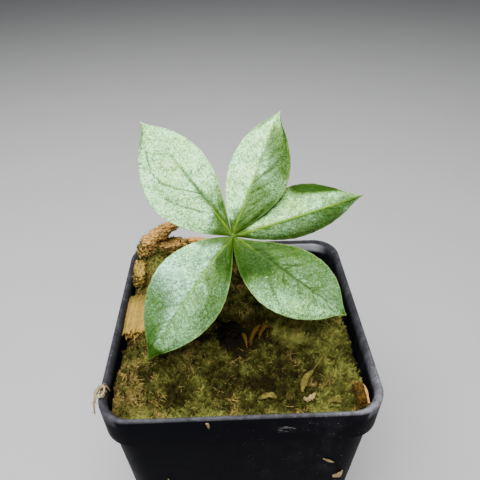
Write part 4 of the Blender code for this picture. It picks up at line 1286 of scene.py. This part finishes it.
class YAM_OT_tuber(Operator):
    """Model the flattened tuber with its rings, on which the petiole stands"""
    bl_idname = "yam.tuber"
    bl_label = "Tuber"

    def execute(self, context):
        tuber = merged_copy("tuber")
        apply_modifier(tuber, "SUBSURF", levels=3, render_levels=3)
        roughen(tuber, (2.4 * MM, 2.4 * MM, 0.9 * MM), 0.35 * MM)
        finish = woody_finish("tuber_skin", (0.12, 0.07, 0.035), (0.5, 0.5, 1.6))
        dress(smooth(tuber), "yam_tuber", "tuber_skin", finish, "tuber")
        return {"FINISHED"}


class YAM_OT_moss(Operator):
    """Model the moss carpet, its thousands of leafy shoots and the dry strands in it"""
    bl_idname = "yam.moss"
    bl_label = "Moss"

    def execute(self, context):
        settings = context.scene.yam_moss
        finish = moss_finish(settings)
        carpet = build_carpet()
        surface = moss_surface(carpet)
        shapes = shoot_shapes()
        places = shoot_places(surface, settings.spacing, random.Random(5))
        third = len(places) // 3 + 1
        for number, side in enumerate(("left", "middle", "right")):
            share = places[number * third:(number + 1) * third]
            dress(copies("shoots", shapes, share), "moss_shoots_" + side, "moss_green", finish)
        places = strand_places(surface, settings.strands, random.Random(8))
        dress(copies("strands", fibre_shapes(), places), "moss_dry_strands", "dry_leaf", finish)
        dress(carpet, "moss_carpet", "moss_green", finish, "moss")
        return {"FINISHED"}


class YAM_OT_petiole(Operator):
    """Sweep the leaning petiole from the tuber to the hub of the leaf"""
    bl_idname = "yam.petiole"
    bl_label = "Petiole"

    def execute(self, context):
        radii = [1.45 - 0.4 * k / (len(PETIOLE_ROUTE) - 1) for k in range(len(PETIOLE_ROUTE))]
        stalk = smooth(swept(PETIOLE_ROUTE, radii, sides=5, segments=14))
        dress(stalk, "yam_petiole", "petiole_dark", stalk_finish(context.scene.yam_leaf), "petiole")
        return {"FINISHED"}


class YAM_OT_leaf(Operator):
    """Model the five leaflets with their veins and silver marks, and the hub that they share"""
    bl_idname = "yam.leaf"
    bl_label = "Leaf"

    def execute(self, context):
        settings = context.scene.yam_leaf
        parts = [build_leaflet(name, settings) for name in LEAFLETS]
        blade = smooth(join(parts + [build_hub()]))
        dress(blade, "yam_leaf", "leaf_green", [leaf_finish(settings), leaf_finish(settings, upper=False)],
              "leaf_blade")
        places = []
        for leaflet, along, across in LEAF_GRAINS:
            s = np.linspace(0, along, 60)[:, None]
            spot = leaflet_shape(leaflet, s, across + 0 * s)[0][-1, 0]
            up = Vector(blade_axes()[2])
            places.append((0, stood(Vector(spot) + up * 0.2 * MM, 0.55), 0.0, 0.0))
        cream = woody_finish("cream_grain", (0.5, 0.42, 0.26), (1, 1, 1))
        dress(copies("grains", [crumb_shape(4)], places), "grains_on_leaf", "dry_leaf", cream)
        return {"FINISHED"}


class YAM_OT_bark(Operator):
    """Model the orange bark and the tan wood along the back and the left wall"""
    bl_idname = "yam.bark"
    bl_label = "Bark and wood"

    def execute(self, context):
        settings = context.scene.yam_scraps
        orange = woody_finish("orange_bark", settings.orange, (0.35, 1.3, 1.3), dark=0.25, light=1.9)
        coir = woody_finish("coir", shaded(settings.tan, 1.35), (1.3, 0.4, 1.3), dark=0.2, light=1.7)
        # The split wood at the left takes painted shade towards its back end.
        tan = woody_finish("tan_wood", settings.tan, (1.6, 0.09, 1.0), turn=-4, dark=0.5,
                           painted_shade_from=(0.006, 0.015))
        for node, slot, finish, grain, heading, depth in (
                ("bark_shard_back", "orange_bark", orange, (3.0, 0.8, 0.8), 14, 1.8),
                ("bark_chunk_back", "orange_bark", orange, (2.8, 0.7, 0.7), 0, 1.3),
                ("bark_strip_back", "orange_bark", orange, (3.0, 0.6, 0.6), 0, 1.0),
                ("coir_lump_left", "pale_wood", coir, (2.2, 0.8, 0.8), 96, 1.8)):
            dress(weathered(node, grain, heading, depth), node + "_rough", slot, finish, node)
        chip = split_chip((-33.2, 4.9, 70.6), (14.6, 9.8, 2.4), heading=91, pitch=2, rough=1.1, seed=3,
                          slant=-0.12, outline=1.3)
        dress(chip, "wood_chip_left_rough", "pale_wood", tan, "wood_chip_left")
        chip = split_chip((34.8, -30.2, 69.8), (3.5, 2.7, 2.2), heading=94, pitch=6, rough=1.0, seed=8,
                          outline=0.5)
        dress(chip, "wood_chip_front_right_rough", "orange_bark", split_finish(settings),
              "wood_chip_front_right")
        return {"FINISHED"}


class YAM_OT_growth(Operator):
    """Grow moss and loose fibres on the bark and the wood at the back left"""
    bl_idname = "yam.growth"
    bl_label = "Moss on the bark"

    def execute(self, context):
        finish = moss_finish(context.scene.yam_moss)
        chance = random.Random(21)
        tufts, fibres = [], []
        for name, shoots, hairs, top in (
                ("bark_shard_back", 900, 130, 82.0), ("bark_chunk_back", 800, 120, 80.8),
                ("coir_lump_left", 200, 520, 76.0), ("wood_chip_left", 900, 1100, 70.6)):
            bark = bpy.data.objects[name + "_rough"]
            for spot, normal in on_surface(bark, shoots + hairs, chance):
                turn, size = chance.uniform(*ANY_TURN), chance.uniform(0.6, 1.2)
                low = spot.z / MM < top - chance.uniform(0, 3.5)
                if name == "wood_chip_left" and spot.y / MM < 9.0 + chance.gauss(0, 1.6):
                    continue
                if len(tufts) % 3 and low and beyond_wall(spot.x / MM, spot.y / MM) < -0.5:
                    up = (normal + Vector((0, 0, 0.6))).normalized()
                    tufts.append((chance.randrange(3), stood(spot - up * 0.2 * MM, size, turn, up),
                                  chance.uniform(0.35, 0.9), chance.uniform(0, 0.6)))
                elif chance.random() < hairs / (shoots + hairs) or not low:
                    side = normal.orthogonal().normalized()
                    side.rotate(Matrix.Rotation(turn, 3, normal))
                    lie = (side + normal * 0.25).normalized()
                    matrix = stood(spot + normal * 0.1 * MM, size * 0.32, towards=lie, axes="XZ")
                    fibres.append((chance.randrange(4), matrix, 0.6, chance.uniform(0.4, 1.0)))
                else:
                    tufts.append((chance.randrange(3), stood(spot, size),
                                  chance.uniform(0.2, 0.7), chance.uniform(0, 0.5)))
        dress(copies("tufts", shoot_shapes(), tufts), "bark_moss", "moss_green", finish)
        dress(copies("fibres", fibre_shapes(), fibres), "bark_fibres", "dry_leaf", finish)
        return {"FINISHED"}


class YAM_OT_litter(Operator):
    """Model the curled slivers, the ragged flakes, the dry leaf and the strand over the lip"""
    bl_idname = "yam.litter"
    bl_label = "Slivers, flakes and dry leaf"

    def execute(self, context):
        settings = context.scene.yam_scraps
        brown = woody_finish("brown_bark", settings.brown, (1.2, 1.2, 1.2), dark=0.35, light=1.8)
        straw = woody_finish("straw", settings.straw, (1.0, 0.5, 1.0), dark=0.35, light=1.8)
        pale = woody_finish("pale_straw", (0.15, 0.11, 0.045), (1.0, 0.5, 1.0), dark=0.4)
        for number, (route, widths, curl) in enumerate(SLIVERS, 1):
            strip = curled_strip(route, widths, curl, ragged=0.25, thick=0.22, seed=number, twist=25)
            dress(strip, f"bark_sliver_{number}_curled", "dark_bark", brown, f"bark_sliver_{number}")
        for number, (route, widths, curl) in enumerate(FLAKES, 1):
            strip = curled_strip(route, widths, curl, ragged=0.3, thick=0.18, seed=number + 9)
            dress(strip, f"pale_flake_{number}_ragged", "dry_leaf", pale if number == 1 else straw,
                  f"pale_flake_{number}")
        stalk = swept(DRY_STALK, (0.1, 0.14, 0.17, 0.2), sides=2, segments=8)
        blade = curled_strip(DRY_BLADE, (0.25, 1.5, 1.6, 0.4), curl=85, ragged=0.3, thick=0.2, seed=31)
        dress(join([blade, stalk]), "dry_leaf_curled", "dry_leaf", straw, "dry_leaf_scrap")
        chance = random.Random(17)
        hairs = []
        for _ in range(4):
            route = [[part + chance.uniform(-0.22, 0.22) for part in spot] for spot in STRAND]
            radii = [0.06] + [chance.uniform(0.1, 0.26) for _ in STRAND[2:]] + [0.05]
            hairs.append(swept(route, radii, sides=1, segments=6))
        for _ in range(26):
            x, y, z = chance.choice(STRAND[3:])
            ends = [[x + chance.uniform(-1.1, 1.0), y + chance.uniform(-1.1, 1.1),
                     z + chance.uniform(-0.4, 0.6)] for _ in range(3)]
            hairs.append(swept(ends, (0.02, 0.07, 0.02), sides=0, segments=4))
        cream = woody_finish("cream_strand", (0.26, 0.2, 0.11), (1, 1, 1), dark=0.5)
        dress(smooth(join(hairs)), "sphagnum_strand_looped", "dry_leaf", cream, "sphagnum_strand")
        return {"FINISHED"}


class YAM_OT_crumbs(Operator):
    """Stick the straw crumbs to the front of the pot"""
    bl_idname = "yam.crumbs"
    bl_label = "Crumbs on the pot"

    def execute(self, context):
        straw = woody_finish("crumb_straw", (0.22, 0.16, 0.08), (1, 1, 1), dark=0.35, light=2.0)
        crumbs = join([swept(points, radii, sides=2, segments=6) for *points, radii in POT_CRUMBS])
        roughen(crumbs, (0.6 * MM,) * 3, 0.25 * MM)
        dress(smooth(crumbs), "crumbs_on_pot", "dry_leaf", straw)
        return {"FINISHED"}


class YAM_OT_stage(Operator):
    """Set up the pale floor, the soft studio lights and the camera"""
    bl_idname = "yam.stage"
    bl_label = "Stage"

    def execute(self, context):
        settings = context.scene.yam_stage
        start()
        bpy.ops.mesh.primitive_plane_add(size=4, location=(0, 0, -0.2 * MM))
        floor = context.object
        floor.name = "floor"
        finish = Finish("floor")
        tone = finish.noise(0.05, 2)
        finish.set(Base_Color=finish.mix(tone, shaded(settings.floor, 0.97), shaded(settings.floor, 1.03)),
                   Roughness=0.8)
        floor.data.materials.append(finish.material)
        world = bpy.data.worlds.new("studio")
        world.use_nodes = True
        backdrop = world.node_tree.nodes["Background"]
        backdrop.inputs["Color"].default_value = (0.93, 0.96, 1.0, 1.0)
        backdrop.inputs["Strength"].default_value = settings.fill
        context.scene.world = world
        self.light("key", Vector((-0.1, -0.03, 0.62)), (0.5, 0.6), settings.key)
        self.light("glint", Vector((-0.02, -0.3, 0.53)), (0.1, 0.1), settings.key * 0.24)
        camera = linked("camera", bpy.data.cameras.new("camera"))
        camera.data.lens = 36
        camera.data.sensor_width = 36
        camera.data.clip_start = 0.01
        # Which way the camera's right side and its top point, and its place in millimetres.
        right = Vector((0.99931, -0.03625, -0.00863))
        up = Vector((0.02823, 0.58547, 0.81020))
        spot = Vector((-2.531, -115.560, 188.291))
        back = right.cross(up).normalized()
        turn = Matrix((right, back.cross(right), back)).transposed().to_4x4()
        camera.matrix_world = Matrix.Translation(spot * MM) @ turn
        context.scene.camera = camera
        return {"FINISHED"}

    def light(self, name, spot, size, power):
        """A soft light of that width and length that faces the plant."""
        data = bpy.data.lights.new(name, "AREA")
        data.shape = "RECTANGLE"
        data.size, data.size_y = size
        data.energy = power
        aim = (Vector((0, 0, 90 * MM)) - spot).to_track_quat("-Z", "Y").to_matrix().to_4x4()
        linked(name, data).matrix_world = Matrix.Translation(spot) @ aim


class YAM_PT_sidebar(Panel):
    """Lists the pieces and their settings"""
    bl_idname = "YAM_PT_sidebar"
    bl_label = "Elephant foot yam"
    bl_space_type = "VIEW_3D"
    bl_region_type = "UI"
    bl_category = "Yam"

    def draw(self, context):
        for attribute, group in SETTINGS.items():
            box = self.layout.box()
            values = getattr(context.scene, attribute)
            for name in group.__annotations__:
                box.prop(values, name)
        for operator in OPERATORS:
            self.layout.operator(operator.bl_idname)


SETTINGS = {
    "yam_pot": YamPotSettings,
    "yam_leaf": YamLeafSettings,
    "yam_moss": YamMossSettings,
    "yam_scraps": YamScrapSettings,
    "yam_stage": YamStageSettings,
}
OPERATORS = (YAM_OT_pot, YAM_OT_medium, YAM_OT_tuber, YAM_OT_moss, YAM_OT_petiole, YAM_OT_leaf,
             YAM_OT_bark, YAM_OT_growth, YAM_OT_litter, YAM_OT_crumbs, YAM_OT_stage)


def register():
    for group in (*SETTINGS.values(), *OPERATORS, YAM_PT_sidebar):
        bpy.utils.register_class(group)
    for attribute, group in SETTINGS.items():
        setattr(bpy.types.Scene, attribute, PointerProperty(type=group))


def unregister():
    for attribute in SETTINGS:
        delattr(bpy.types.Scene, attribute)
    for group in (YAM_PT_sidebar, *reversed(OPERATORS), *SETTINGS.values()):
        bpy.utils.unregister_class(group)


def main():
    register()
    for operator in OPERATORS:
        kind, name = operator.bl_idname.split(".")
        getattr(getattr(bpy.ops, kind), name)()
    start()


if __name__ == "__main__":
    main()
